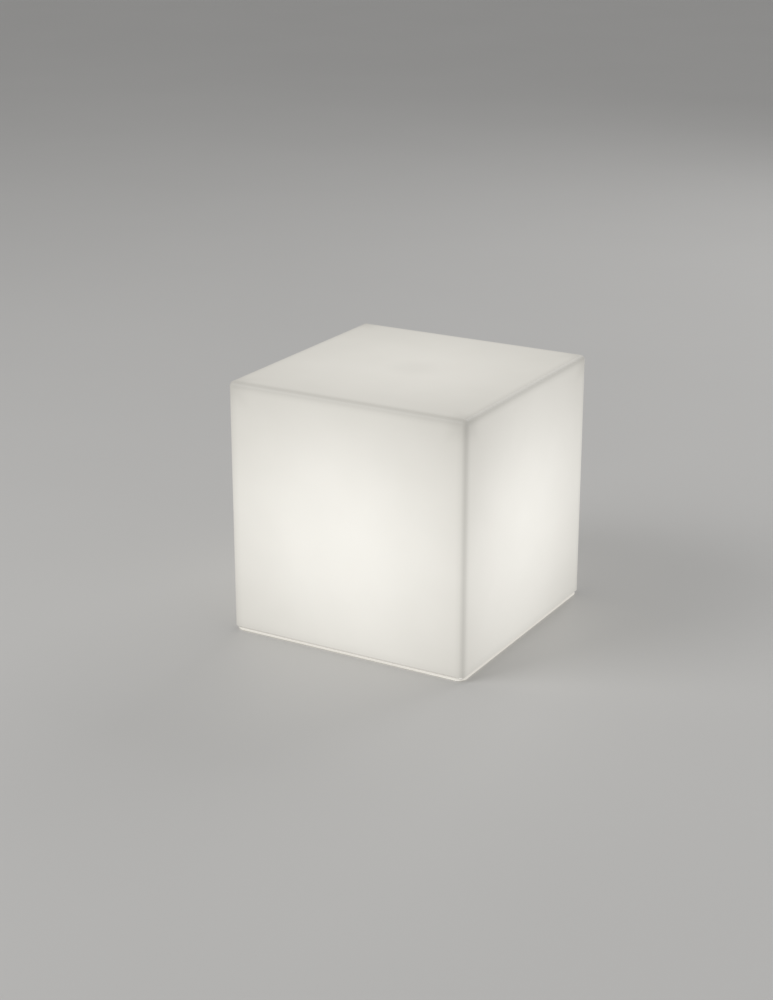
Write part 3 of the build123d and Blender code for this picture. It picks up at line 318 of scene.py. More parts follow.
# %% Hood: shades of the glow
across_floor = add(tree, VECTOR_MATH, {0: place, 1: (1, 1, 0)}, operation="MULTIPLY")
from_axis = add(tree, VECTOR_MATH, {0: across_floor}, operation="LENGTH")
wall = mottle(tree, shader, place, 71.4, tint("#8D8B83"), tint("#918F88"), Detail=2.0, Roughness=0.4)
strength = add(tree, MATH, {0: glow, 1: ridge}, operation="MULTIPLY")
for measure, start, end, first, last, curve in (
    (any_edge, -9 * MM, 1 * MM, 1.0, 0.93, "SMOOTHSTEP"),  # beside an edge
    (in_corner, -34 * MM, 4 * MM, 1.0, 0.86, "SMOOTHSTEP"),  # towards a corner
    (from_axis.outputs["Value"], 8 * MM, 52 * MM, 0.95, 1.0, "SMOOTHSTEP"),  # over the cap
    (axes["Z"], 6 * MM, 22 * MM, 0.94, 1.0, "SMOOTHSTEP"),  # just above the dark sole
    # Painted shade of the seam: the down-facing flange gives off much less light than the wall.
    (facing_up, -0.9, -0.5, 0.35, 1.0, "LINEAR"),  # the flange, which faces down into the seam
    (facing_up, 0.2, 0.9, 1.0, 1.13, "LINEAR"),  # the top, which gets all light from the walls
    (wall, 0.0, 1.0, 0.975, 1.025, "LINEAR"),  # the wall's uneven thickness
):
    limits = {"From Min": start, "From Max": end, "To Min": first, "To Max": last}
    share = add(tree, MAP_RANGE, {"Value": measure, **limits}, interpolation_type=curve)
    strength = add(tree, MATH, {0: strength, 1: share}, operation="MULTIPLY")
feed(tree, strength, shader, "Emission Strength")
print("nodes in the hood's tree:", len(tree.nodes))

# %% [markdown]
# The light gets a little warmer where it has gone through more plastic, so the brightest part is
# nearly white and the rest is a soft ivory. The skin of a rotomoulded part copies the blasted
# steel mould: a grain of about half a millimetre, too fine for the picture, so it is drawn at
# 1.5 mm and very low.


# %% Hood: colour of the light, and skin
def grain(tree, shader, vector, size, strength, depth, detail=2.0):
    """Raises a fine noise as the skin of a moulded piece. Size and depth are in mm."""
    fine = add(tree, NOISE, {"Vector": vector, "Scale": 1 / (size * MM), "Detail": detail})
    skin = add(tree, BUMP, {"Height": fine, "Strength": strength, "Distance": depth * MM})
    feed(tree, skin, shader, "Normal")


warmth = add(tree, MIX, {0: lit, 6: tint("#FFFBF3"), 7: tint("#FFFDF7")}, data_type="RGBA")
feed(tree, warmth.outputs[2], shader, "Emission Color")
grain(tree, shader, place, 1.5, 0.06, 0.2, detail=3.0)
dress(hood_material, "cube_shell")

# %% [markdown]
# ## The base plate: moulded opal polyethylene
#
# The plate is of the same opal plastic. Light runs inside it and leaves at its rim, so a thin
# bright line is seen below the dark seam, and the underside only shines faintly, most near its
# edge. The distance to the rim is calculated as for the hood, here from X and Y alone.

# %% Base plate
RIM_HALF = 0.199
RIM_GLOW = 0.56
UNDERSIDE_GLOW = 0.10

plate_material, tree, shader, place = new_material(
    "moulded opal polyethylene", {"Roughness": 0.45, "Emission Color": tint("#FFFBF3")}
)
axes = add(tree, "ShaderNodeSeparateXYZ", {0: place}).outputs
across = add(tree, MATH, {0: axes["X"]}, operation="ABSOLUTE")
along = add(tree, MATH, {0: axes["Y"]}, operation="ABSOLUTE")
outermost = add(tree, MATH, {0: across, 1: along}, operation="MAXIMUM")
limits = {"From Min": RIM_HALF - 12 * MM, "From Max": RIM_HALF - 0.5 * MM}
levels = {"To Min": UNDERSIDE_GLOW, "To Max": RIM_GLOW}
rim = add(tree, MAP_RANGE, {"Value": outermost, **limits, **levels}, interpolation_type="SMOOTHSTEP")
feed(tree, rim, shader, "Emission Strength")
mottle(tree, shader, place, 55.6, tint("#8D8A82"), tint("#94918A"), Detail=3.0)
grain(tree, shader, place, 1.2, 0.1, 0.2)
dress(plate_material, "base_plate")

# %% [markdown]
# ## Moulded plastics and rubbers
#
# These pieces come out of a closed mould, and they differ in colour, gloss and grain. A
# spark-eroded mould leaves a fine grain, a polished one a clear gloss, rubber is matte. One
# function builds this family: a broad noise makes the colour and gloss a little uneven, as
# pigment and flow do, and a fine one is the grain. Real grains are 0.05 to 0.3 mm, too fine to
# show, so they are drawn two to four times coarser. Each row names its CAD nodes first.


# %% Moulded finish
def moulded(name, code, roughness, size, relief, unevenness=0.05):
    """Moulded piece: colour, roughness, size and relief of the grain in mm, and uneven colour."""
    material, tree, shader, place = new_material(name)
    light = tint(code)
    dark = (*(value * (1 - 2 * unevenness) for value in light[:3]), 1.0)
    flow = mottle(tree, shader, place, 25 * size, dark, light, Detail=3.0)
    limits = {"To Min": roughness - 0.05, "To Max": roughness + 0.05}
    feed(tree, add(tree, MAP_RANGE, {"Value": flow, **limits}), shader, "Roughness")
    grain(tree, shader, place, size, 0.35, relief)
    return material


# %% Plastics of the service module and the column
for names, *finish in (
    # ABS is satin, a soft white that hides what leans on it.
    ("module_housing battery_clamp lamp_dish lamp_cap", "moulded white ABS", "#DFDEDA", 0.42, 0.5, 0.05),
    # The cover is touched by hands and floors, so its mould is spark-eroded and the grain is coarser.
    ("module_cover", "spark-eroded grey polycarbonate", "#B9BBBB", 0.55, 0.7, 0.09),
    # A smoother white marks the button out to the finger and the eye.
    ("power_button", "satin white ABS", "#DAD9D4", 0.33, 0.4, 0.03),
    # Nylon and polyester moulding compounds are black, with a slight sheen.
    ("vent_plug", "moulded black nylon", "#26262A", 0.38, 0.4, 0.04, 0.1),
    ("switch_body charge_socket", "glossy black polyester", "#1F1F22", 0.24, 0.4, 0.02, 0.1),
    # Acetal slides well and is a little glossy, cream nylon is the usual look of lead sockets.
    ("switch_plunger", "white acetal", "#E6E5E0", 0.28, 0.3, 0.02),
    ("board_headers", "cream nylon", "#D8CFB4", 0.40, 0.4, 0.03),
    # Epoxy round a chip or coil is dull.
    ("board_components", "moulded black epoxy", "#2A2A2C", 0.62, 0.35, 0.05, 0.1),
):
    dress(moulded(*finish), *names.split())
# The package of a diode is white, to throw light forward.
led_body = moulded("white diode package", "#E9E8E2", 0.35, 0.2, 0.02)
dress(led_body, "status_led")

# %% Rubbers
FEET = "foot_front_left foot_front_right foot_back_left foot_back_right"
for names, *finish in (
    # Rubber scatters light over its skin and picks up dust, so it is matte and a little patchy.
    (FEET, "moulded grey rubber", "#6A6A6D", 0.78, 0.6, 0.10, 0.12),
    ("flange_seal cover_seal", "silicone sheet", "#9FA2A4", 0.52, 0.8, 0.04, 0.05),
    ("socket_plug lead_grommet", "moulded black rubber", "#2B2B2D", 0.72, 0.5, 0.08, 0.12),
    # PVC insulation is extruded and smooth, with long soft waves.
    ("battery_lead charge_lead led_lead", "extruded black PVC", "#242427", 0.36, 1.2, 0.03, 0.08),
):
    dress(moulded(*finish), *names.split())

# %% [markdown]
# ## Sponge, membrane, opal tube and clear pipe
#
# Four finishes that need a pattern of their own. Closed-cell sponge shows cut bubbles of about
# a millimetre, which a Voronoi pattern draws well, with painted shade that darkens each bubble
# towards its middle. The vent's membrane is a felt of fibres, drawn by a noise that is squeezed
# across them. The tube round the column is frosted plastic that glows all over and is brighter in
# the middle, where the diodes are. The light pipe is clear acrylic, so it transmits.

# %% Sponge
sponge, tree, shader, place = new_material("closed-cell sponge rubber", {"Roughness": 0.9})
bubbles = add(tree, "ShaderNodeTexVoronoi", {"Vector": place, "Scale": 1 / (1.1 * MM)})
# Each bubble darkens towards its middle: painted shade in the cut pits.
bubble_tone_with_pit_shade = add(tree, "ShaderNodeValToRGB", {0: bubbles})
stops = bubble_tone_with_pit_shade.color_ramp.elements
stops[0].color = tint("#0E0E0F")
stops[1].color = tint("#333336")
stops[1].position = 0.7
feed(tree, bubble_tone_with_pit_shade, shader, "Base Color")
pits = add(tree, BUMP, {"Height": bubbles, "Strength": 0.7, "Distance": 0.3 * MM})
feed(tree, pits, shader, "Normal")
dress(sponge, "base_seal", "battery_pad")

# %% Membrane
felt, tree, shader, place = new_material("porous fluoropolymer membrane", {"Roughness": 0.85})
squeezed = add(tree, "ShaderNodeMapping", {"Vector": place, "Scale": (1.0, 5.0, 1.0)})
fibres = mottle(tree, shader, squeezed, 0.8, tint("#CFCFCC"), tint("#EFEFEC"), Detail=6.0, Distortion=1.5)
nap = add(tree, BUMP, {"Height": fibres, "Strength": 0.5, "Distance": 0.1 * MM})
feed(tree, nap, shader, "Normal")
dress(felt, "vent_membrane")

# %% Opal tube
LAMP_HEIGHT = 0.176  # middle of the diode boards
TUBE_GLOW = 0.9
BRIGHT_HALF, DIM_HALF = 30 * MM, 62 * MM  # from the middle, where the fading starts and ends

opal_tube, tree, shader, place = new_material(
    "extruded opal polycarbonate, lit", {"Roughness": 0.5, "Emission Color": tint("#FFF6E4")}
)
height = add(tree, "ShaderNodeSeparateXYZ", {0: place}).outputs["Z"]
over_middle = add(tree, MATH, {0: height, 1: LAMP_HEIGHT}, operation="SUBTRACT")
off_middle = add(tree, MATH, {0: over_middle}, operation="ABSOLUTE")
limits = {"From Min": BRIGHT_HALF, "From Max": DIM_HALF, "To Min": TUBE_GLOW, "To Max": TUBE_GLOW / 3}
fall = add(tree, MAP_RANGE, {"Value": off_middle, **limits}, interpolation_type="SMOOTHSTEP")
feed(tree, fall, shader, "Emission Strength")
mottle(tree, shader, place, 0.8, tint("#C9C6BD"), tint("#D2CFC7"), Detail=3.0)
dress(opal_tube, "diffuser_tube")

# %% Light pipe
acrylic, tree, shader, place = new_material(
    "clear acrylic", {"Roughness": 0.06, "IOR": 1.49, "Transmission Weight": 0.85}
)
mottle(tree, shader, place, 2.0, tint("#EEF2F3"), tint("#FAFCFC"), Detail=2.0)
dress(acrylic, "light_pipe")

# %% [markdown]
# ## Metals
#
# A metal's colour is the colour of its reflection, and its tool marks decide how that reflection
# is smeared. Rolling, extruding and brushing leave marks along one direction, turning leaves rings
# round an axis. So one noise is squeezed: a high scale across the marks and a low one along them.
# It drives both the roughness and a very low relief. Marks are 0.05 mm apart in reality and
# are drawn at 0.3 to 0.8 mm.


# %% Worked metal
def worked_metal(name, code, roughness, marks, spacing, relief):
    """Metal with tool marks, as a scale on X, Y and Z, and their spacing and relief in mm."""
    material, tree, shader, place = new_material(name, {"Metallic": 1.0})
    squeezed = add(tree, "ShaderNodeMapping", {"Vector": place, "Scale": marks})
    bright = tint(code)
    dull = (*(value * 0.82 for value in bright[:3]), 1.0)
    lines = mottle(tree, shader, squeezed, spacing, dull, bright, Detail=4.0)
    limits = {"To Min": roughness - 0.08, "To Max": roughness + 0.08}
    feed(tree, add(tree, MAP_RANGE, {"Value": lines, **limits}), shader, "Roughness")
    groove = add(tree, BUMP, {"Height": lines, "Strength": 0.4, "Distance": relief * MM})
    feed(tree, groove, shader, "Normal")
    return material


# %% Metals of the lamp
# Cold heading leaves bright steel, a rolled thread or strip shows the marks of its rollers.
steel = worked_metal("cold-headed stainless steel", "#C9C8C5", 0.30, (1.0, 1.0, 0.3), 0.5, 0.02)
dress(steel, "base_screws", "cover_screws", "module_screws", "tie_nuts")
rod_steel = worked_metal("rolled steel thread", "#C2C1BE", 0.34, (0.05, 0.05, 1.0), 0.4, 0.10)
dress(rod_steel, "tie_rod")
nickel = worked_metal("rolled nickel strip", "#CFCBC2", 0.32, (0.04, 1.0, 1.0), 0.5, 0.01)
dress(nickel, "nickel_strips")
# Turned brass is yellow with fine rings.
brass = worked_metal("turned brass", "#D9B36C", 0.28, (0.05, 0.05, 1.0), 0.4, 0.03)
dress(brass, "shell_inserts", "socket_pin")
# Aluminium is whiter than steel. Brushed it has a sheen along its length, anodised it is duller.
brushed = worked_metal("brushed aluminium", "#D6D7D9", 0.36, (1.0, 1.0, 0.02), 0.4, 0.02)
dress(brushed, "led_post")
extruded = worked_metal("extruded anodised aluminium", "#D0D1D3", 0.44, (1.0, 1.0, 0.01), 0.8, 0.03)
dress(extruded, "heat_sink")

# %% [markdown]
# ## Circuit boards
#
# A board is a laminate under a thin coat of solder mask. Copper tracks lie under the mask and show
# as slightly raised, lighter lines that run along two directions at a fixed pitch. A ping-pong
# of a coordinate is zero on evenly spaced lines, and a coarse noise decides where tracks run one
# way, the other way or not at all. Flat boards use X and Y; upright ones use X + Y, which runs
# along a board whichever side it is on, and Z.


# %% Board finish
TRACK_PITCH = 1.6  # mm, real tracks are half as far apart
TRACK_WIDTH = 0.5  # mm
AREA_SIZE = 9.0  # mm


def board_finish(name, mask_code, track_code, standing):
    """Solder mask over tracks, for a flat board or an upright one."""
    material, tree, shader, place = new_material(name, {"Roughness": 0.26})
    axes = add(tree, "ShaderNodeSeparateXYZ", {0: place}).outputs
    first, second = axes["X"], axes["Y"]
    if standing:
        first = add(tree, MATH, {0: first, 1: second}, operation="ADD")
        second = axes["Z"]
    areas = add(tree, NOISE, {"Vector": place, "Scale": 1 / (AREA_SIZE * MM), "Detail": 1.0})
    tracks = []
    for value, choice, limit in ((first, "GREATER_THAN", 0.52), (second, "LESS_THAN", 0.46)):
        wave = add(tree, MATH, {0: value, 1: TRACK_PITCH / 2 * MM}, operation="PINGPONG")
        line = add(tree, MATH, {0: wave, 1: TRACK_WIDTH / 2 * MM}, operation="LESS_THAN")
        area = add(tree, MATH, {0: areas, 1: limit}, operation=choice)
        tracks.append(add(tree, MATH, {0: line, 1: area}, operation="MULTIPLY"))
    copper = add(tree, MATH, {0: tracks[0], 1: tracks[1]}, operation="MAXIMUM")
    tones = {6: tint(mask_code), 7: tint(track_code)}
    colour = add(tree, MIX, {0: copper, **tones}, data_type="RGBA")
    feed(tree, colour.outputs[2], shader, "Base Color")
    raised = add(tree, BUMP, {"Height": copper, "Strength": 0.5, "Distance": 0.04 * MM})
    feed(tree, raised, shader, "Normal")
    return material


# Green mask is glossy and a little see-through, the white one throws the diodes' light forward.
flat_board = board_finish("green solder mask on fibreglass", "#0E4A2A", "#1F6E40", False)
dress(flat_board, "control_board", "link_board")
guard_board = board_finish("green solder mask, upright board", "#0E4A2A", "#1F6E40", True)
dress(guard_board, "protection_board")
lamp_board = board_finish("white solder mask on aluminium", "#E4E4E1", "#D2D3CF", True)
dress(lamp_board, "led_board_front", "led_board_right", "led_board_back", "led_board_left")

# %% [markdown]
# ## Repeated pieces with Geometry Nodes
#
# Screws, diodes, cells and chip legs repeat, and each kind follows a few sizes. Geometry Nodes
# suit that: a tree with named inputs draws or takes one piece and puts it at every place, and a
# changed input redraws all. The first helpers start and end a tree and put a part at every point,
# where each point carries its own turn. The end makes the copies real, because instances are lost
# in an export, and gives one material to the whole and another to the faces that are marked.


# %% Helpers for trees
def new_tree(name, inputs, takes_points=False):
    """Starts a Geometry Nodes tree. An input is given by its number, or by its kind of socket."""
    tree = bpy.data.node_groups.new(name, "GeometryNodeTree")
    if takes_points:
        tree.interface.new_socket("Points", in_out="INPUT", socket_type="NodeSocketGeometry")
    for label, value in inputs.items():
        kind = {int: "NodeSocketInt", float: "NodeSocketFloat"}.get(type(value), value)
        socket = tree.interface.new_socket(label, in_out="INPUT", socket_type=kind)
        if kind != value:
            socket.default_value = value
    tree.interface.new_socket("Geometry", in_out="OUTPUT", socket_type="NodeSocketGeometry")
    return tree, add(tree, "NodeGroupInput").outputs


def at_points(tree, points, part):
    """Puts a part at every point, turned by the point's own turn."""
    turn = add(tree, "GeometryNodeInputNamedAttribute", {"Name": "turn"}, data_type="FLOAT_VECTOR")
    places = {"Points": points, "Instance": part, "Rotation": turn}
    return add(tree, "GeometryNodeInstanceOnPoints", places)


def end_tree(tree, copies, body, marking=None):
    """Makes the copies real and gives them a material, and marked faces another one."""
    whole = add(tree, "GeometryNodeRealizeInstances", {0: copies})
    whole = add(tree, "GeometryNodeSetMaterial", {"Geometry": whole, "Material": body})
    if marking:
        mark = add(tree, "GeometryNodeInputNamedAttribute", {"Name": "marked"}, data_type="BOOLEAN")
        finish = {"Geometry": whole, "Selection": mark, "Material": marking}
        whole = add(tree, "GeometryNodeSetMaterial", finish)
    add(tree, "NodeGroupOutput", {"Geometry": whole})


# %% [markdown]
# Two more helpers run a tree. A modifier on an object of loose points evaluates it, its inputs are
# set by their identifiers, and the result becomes a plain mesh, which keeps only the materials
# that its faces use. The last one compares the result with the CAD nodes that it replaces.


# %% Helpers to run a tree
def run_tree(tree, name, values=None, points=()):
    """Runs a tree on loose points and gives the result as an object with a plain mesh."""
    start = bpy.data.meshes.new(name + " points")
    start.from_pydata([place for place, turn in points], [], [])
    turns = start.attributes.new("turn", "FLOAT_VECTOR", "POINT")
    for item, (place, turn) in zip(turns.data, points):
        item.vector = turn
    carrier = bpy.data.objects.new(name + " carrier", start)
    bpy.context.scene.collection.objects.link(carrier)
    modifier = carrier.modifiers.new("nodes", "NODES")
    modifier.node_group = tree
    known = {item.name: item.identifier for item in tree.interface.items_tree}
    for label, value in (values or {}).items():
        modifier[known[label]] = value
    graph = bpy.context.evaluated_depsgraph_get()
    mesh = bpy.data.meshes.new_from_object(carrier.evaluated_get(graph))
    bpy.data.objects.remove(carrier)
    finishes = [mesh.materials[polygon.material_index] for polygon in mesh.polygons]
    mesh.materials.clear()
    for material in dict.fromkeys(finishes):
        mesh.materials.append(material)
    for polygon, material in zip(mesh.polygons, finishes):
        polygon.material_index = mesh.materials.find(material.name)
    mesh.name = name
    piece = bpy.data.objects.new(name, mesh)
    bpy.context.scene.collection.objects.link(piece)
    print(name, "faces:", len(mesh.polygons), "materials:", [m.name for m in mesh.materials])
    return piece


def report_fit(piece, *names):
    """Prints how far a piece stands out of the box of the CAD nodes that it replaces."""
    lows, highs = zip(*(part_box(name) for name in names))
    places = [vertex.co for vertex in piece.data.vertices]
    worst = 0.0
    for axis in range(3):
        worst = max(worst, min(low[axis] for low in lows) - min(place[axis] for place in places))
        worst = max(worst, max(place[axis] for place in places) - max(high[axis] for high in highs))
    print(piece.name, "stands out by", round(worst / MM, 3), "mm")


# %% [markdown]
# ### Screws
#
# A cold-headed screw has a hexagonal head with a chamfered crown, a socket punched into it, a thin
# washer face, and a rolled thread. The head grows out of one prism: its lower face is pushed out
# and narrowed for the crown, then inset and sunk for the socket, so it stays one closed skin. The
# thread is a real helix: a spiral curve with a triangular profile wound round a core. The seat of
# the head is at zero, the head hangs below it and the shank stands above. Each point carries a
# turn, so that some screws may point down.

# %% Screw tree: head
WASHER_HEIGHT, CROWN_HEIGHT, SOCKET_DEPTH = 0.14, 0.24, 0.6  # shares of the head's height
FLATS_HEIGHT = 1 - WASHER_HEIGHT - CROWN_HEIGHT
WASHER_RADIUS = 0.85  # share of the head's radius
CROWN_WIDTH, SOCKET_WIDTH, SOCKET_END = 0.84, 0.62, 0.96  # shares of the width before them
HEAD_SIDES, WASHER_SIDES = 6, 24

tree, sizes = new_tree(
    "threaded screws",
    {
        "Head radius": 3.8 * MM,
        "Head height": 2.0 * MM,
        "Shank radius": 2.0 * MM,
        "Length": 12.0 * MM,
        "Pitch": 0.7 * MM,
    },
    takes_points=True,
)


def moved_up(geometry, size, share):
    """Geometry moved along Z by a share of a size, in the tree that is being built."""
    height = add(tree, MATH, {0: size, 1: share}, operation="MULTIPLY")
    shift = add(tree, "ShaderNodeCombineXYZ", {"Z": height})
    return add(tree, "GeometryNodeTransform", {"Geometry": geometry, "Translation": shift})


thickness, flats, crown, depth = [
    add(tree, MATH, {0: sizes["Head height"], 1: share}, operation="MULTIPLY")
    for share in (WASHER_HEIGHT, FLATS_HEIGHT, CROWN_HEIGHT, -SOCKET_DEPTH)
]
prism = {"Vertices": HEAD_SIDES, "Radius": sizes["Head radius"], "Depth": flats}
head = add(tree, "GeometryNodeMeshCylinder", prism)
head = moved_up(head, sizes["Head height"], -WASHER_HEIGHT - FLATS_HEIGHT / 2)
normal = add(tree, "ShaderNodeSeparateXYZ", {0: add(tree, "GeometryNodeInputNormal")})
chosen = add(tree, MATH, {0: normal.outputs["Z"], 1: -0.9}, operation="LESS_THAN")
for out, width in ((crown, CROWN_WIDTH), (0.0, SOCKET_WIDTH), (depth, SOCKET_END)):
    push = {"Mesh": head, "Selection": chosen, "Offset Scale": out}
    pushed = add(tree, "GeometryNodeExtrudeMesh", push, mode="FACES")
    chosen = pushed.outputs["Top"]
    narrow = {"Geometry": pushed, "Selection": chosen, "Scale": width}
    head = add(tree, "GeometryNodeScaleElements", narrow, domain="FACE")
face = add(tree, MATH, {0: sizes["Head radius"], 1: WASHER_RADIUS}, operation="MULTIPLY")
disc = {"Vertices": WASHER_SIDES, "Radius": face, "Depth": thickness}
washer = moved_up(add(tree, "GeometryNodeMeshCylinder", disc), sizes["Head height"], -WASHER_HEIGHT / 2)
print("screw tree with", len(sizes) - 2, "sizes")

# %% Screw tree: core and thread, and one at every point
THREAD_DEPTH, THREAD_START = 0.5, 0.6  # shares of the pitch
CORE_SIDES, STEPS_PER_TURN = 16, 14

bite = add(tree, MATH, {0: sizes["Pitch"], 1: THREAD_DEPTH}, operation="MULTIPLY")
core_radius = add(tree, MATH, {0: sizes["Shank radius"], 1: bite}, operation="SUBTRACT")
rod = {"Vertices": CORE_SIDES, "Radius": core_radius, "Depth": sizes["Length"]}
core = moved_up(add(tree, "GeometryNodeMeshCylinder", rod), sizes["Length"], 0.5)
ends = add(tree, MATH, {0: sizes["Pitch"], 1: 2 * THREAD_START}, operation="MULTIPLY")
threaded = add(tree, MATH, {0: sizes["Length"], 1: ends}, operation="SUBTRACT")
spiral = add(
    tree,
    "GeometryNodeCurveSpiral",
    {
        "Resolution": STEPS_PER_TURN,
        "Rotations": add(tree, MATH, {0: threaded, 1: sizes["Pitch"]}, operation="DIVIDE"),
        "Start Radius": core_radius,
        "End Radius": core_radius,
        "Height": threaded,
    },
)
ridge = add(tree, "GeometryNodeCurvePrimitiveCircle", {"Resolution": 3, "Radius": bite})
thread = {"Curve": spiral, "Profile Curve": ridge, "Fill Caps": True}
thread = moved_up(add(tree, "GeometryNodeCurveToMesh", thread), sizes["Pitch"], THREAD_START)
screw = add(tree, "GeometryNodeJoinGeometry")
for part in (head, washer, core, thread):
    feed(tree, part, screw, 0)
end_tree(tree, at_points(tree, sizes["Points"], screw), steel)
screw_tree = tree
print("nodes in the screw tree:", len(tree.nodes))

# %% [markdown]
# The same tree makes all three kinds. Four machine screws go up through the base plate into brass
# inserts, so their thread is fine. The screws of the cover, board and clamp cut their own thread
# in plastic, so theirs is coarse. The heads of the board's two screws are on top, so they are
# turned by half a turn about X.

# %% Screws in their places
UP, DOWN = (0, 0, 0), (math.pi, 0, 0)
BASE_SEAT, BASE_REACH = 3.6 * MM, 180 * MM
COVER_SEAT, COVER_REACH = 12.0 * MM, 58.7 * MM
BOARD_SEAT, CLAMP_SEAT = 25.6 * MM, 36.6 * MM
CLAMP_EAR = 3.9 * MM  # from the end of the clamp to the middle of its hole

middles = [(1, 0), (-1, 0), (0, 1), (0, -1)]
base_places = [((x * BASE_REACH, y * BASE_REACH, BASE_SEAT), UP) for x, y in middles]
cover_places = [((x * COVER_REACH, y * COVER_REACH, COVER_SEAT), UP) for x, y in CORNERS]
clamp_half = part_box("battery_clamp")[1].x - CLAMP_EAR
module_places = [
    ((-41 * MM, -16 * MM, BOARD_SEAT), DOWN),
    ((9 * MM, 16 * MM, BOARD_SEAT), DOWN),
    ((-clamp_half, 0, CLAMP_SEAT), UP),
    ((clamp_half, 0, CLAMP_SEAT), UP),
]
labels = ("Head radius", "Head height", "Shank radius", "Length", "Pitch")
for name, places, values in (
    ("base_screws", base_places, (3.8, 2.0, 2.0, 12.0, 0.7)),
    ("cover_screws", cover_places, (3.8, 2.0, 2.0, 18.0, 1.5)),
    ("module_screws", module_places, (2.9, 1.8, 1.5, 9.0, 1.2)),
):
    in_metres = {label: value * MM for label, value in zip(labels, values)}
    screws = run_tree(screw_tree, "threaded_" + name, in_metres, places)
    report_fit(screws, name)
    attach(screws, "root")
    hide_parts(name)

# %% [markdown]
# ### Diodes
#
# Each diode is a small white package with a shallow cup, filled level with silicone that holds a
# yellow phosphor. The package is drawn once in mesh code, as a skin over five rims: its foot, both
# sides of a bevel, and the mouth and floor of the cup. The tree lays it out in rows and columns on
# one board, stands that field upright in front of the board, and turns it to all four sides.

# %% Phosphor
# Phosphor is a yellow powder in a clear filling, so it is grainy under a gloss.
phosphor, tree, shader, place = new_material(
    "phosphor in silicone, lit",
    {"Roughness": 0.22, "Emission Color": tint("#FFF0CC"), "Emission Strength": 1.6},
)
mottle(tree, shader, place, 0.25, tint("#E8C75A"), tint("#F4DA7C"), Detail=2.0)
dress(phosphor, "led_chips")

# %% One diode
DIODE_WIDTH, DIODE_LENGTH = 2.8, 3.5  # mm
# Each row is how far a rim lies inside the sides, and its height, in mm.
DIODE_RIMS = [(0.0, 0.0), (0.0, 0.68), (0.12, 0.8), (0.3675, 0.8), (0.4382, 0.62)]


def finished_part(name, shape, marked):
    """Object of a part that a tree repeats. True or false for each face says if it is marked."""
    mesh = bpy.data.meshes.new(name)
    shape.to_mesh(mesh)
    shape.free()
    mesh.attributes.new("marked", "BOOLEAN", "FACE").data.foreach_set("value", marked)
    print(name, "faces:", len(mesh.polygons), "marked:", sum(marked))
    return bpy.data.objects.new(name, mesh)


def skinned(name, rings, marked):
    """Closed part over rings of places in mm. Its flags are for one end, each band, the other end."""
    shape = bmesh.new()
    rings = [[shape.verts.new(Vector(spot) * MM) for spot in ring] for ring in rings]
    shape.faces.new(rings[0])
    flags = [marked[0]]
    for ring, after, flag in zip(rings, rings[1:], marked[1:]):
        for side in range(len(ring)):
            shape.faces.new((ring[side - 1], ring[side], after[side], after[side - 1]))
            flags.append(flag)
    shape.faces.new(rings[-1])
    bmesh.ops.recalc_face_normals(shape, faces=shape.faces)
    return finished_part(name, shape, [*flags, marked[-1]])


rims = []
for inside, height in DIODE_RIMS:
    x, y = DIODE_WIDTH / 2 - inside, DIODE_LENGTH / 2 - inside
    rims.append([(x * right, y * back, height) for right, back in CORNERS])
diode = skinned("diode", rims, (False, False, False, False, False, True))

# %% Diode tree
tree, sizes = new_tree(
    "diodes on four boards",
    {
        "Rows": 5,
        "Columns": 2,
        "Row pitch": 18 * MM,
        "Column pitch": 11 * MM,
        "Board face": 20.8 * MM,
        "Middle": LAMP_HEIGHT,
    },
)


def span(count, pitch):
    """Distance from the first to the last of a number of things at a pitch."""
    gaps = add(tree, MATH, {0: count, 1: 1.0}, operation="SUBTRACT")
    return add(tree, MATH, {0: gaps, 1: pitch}, operation="MULTIPLY")


field = add(
    tree,
    "GeometryNodeMeshGrid",
    {
        "Size X": span(sizes["Columns"], sizes["Column pitch"]),
        "Size Y": span(sizes["Rows"], sizes["Row pitch"]),
        "Vertices X": sizes["Columns"],
        "Vertices Y": sizes["Rows"],
    },
)
one = add(tree, "GeometryNodeObjectInfo", {"Object": diode}).outputs["Geometry"]
on_board = add(tree, "GeometryNodeInstanceOnPoints", {"Points": field, "Instance": one})
forward = add(tree, MATH, {0: sizes["Board face"], 1: -1.0}, operation="MULTIPLY")
stand = add(tree, "ShaderNodeCombineXYZ", {"Y": forward, "Z": sizes["Middle"]})
upright = {"Geometry": on_board, "Translation": stand, "Rotation": (math.pi / 2, 0, 0)}
front = add(tree, "GeometryNodeTransform", upright)
side = add(tree, "GeometryNodeInputIndex")
quarter = add(tree, MATH, {0: side, 1: math.pi / 2}, operation="MULTIPLY")
column = add(
    tree,
    "GeometryNodeInstanceOnPoints",
    {
        "Points": add(tree, "GeometryNodePoints", {"Count": 4}),
        "Instance": front,
        "Rotation": add(tree, "ShaderNodeCombineXYZ", {"Z": quarter}),
    },
)
end_tree(tree, column, led_body, phosphor)
diodes = run_tree(tree, "diode_packages")
report_fit(diodes, "led_chips")
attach(diodes, "root")
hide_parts("led_chips")

# %% [markdown]
# ### Battery cells
#
# A cell is a deep-drawn steel can, nickel plated, in a sleeve of shrunk blue film. The film is
# folded over both ends and leaves the metal of the poles bare, and it follows the groove that
# is rolled round the can near the upper pole. The outline of one cell is turned about its axis
# in mesh code, and the tree puts four of them side by side.

# %% Shrunk film
# Shrunk film is glossy, with long soft waves round the can that are drawn 3 mm apart.
film, tree, shader, place = new_material("shrunk blue PVC film", {"Roughness": 0.22, "Coat Weight": 0.3})
long_waves = add(tree, "ShaderNodeMapping", {"Vector": place, "Scale": (1.0, 0.15, 1.0)})
shrink = mottle(tree, shader, long_waves, 3.0, tint("#1F4E86"), tint("#2B64A2"), Detail=3.0)
waves = add(tree, BUMP, {"Height": shrink, "Strength": 0.3, "Distance": 0.2 * MM})
feed(tree, waves, shader, "Normal")
CELLS = ("battery_cell_1", "battery_cell_2", "battery_cell_3", "battery_cell_4")
dress(film, *CELLS)

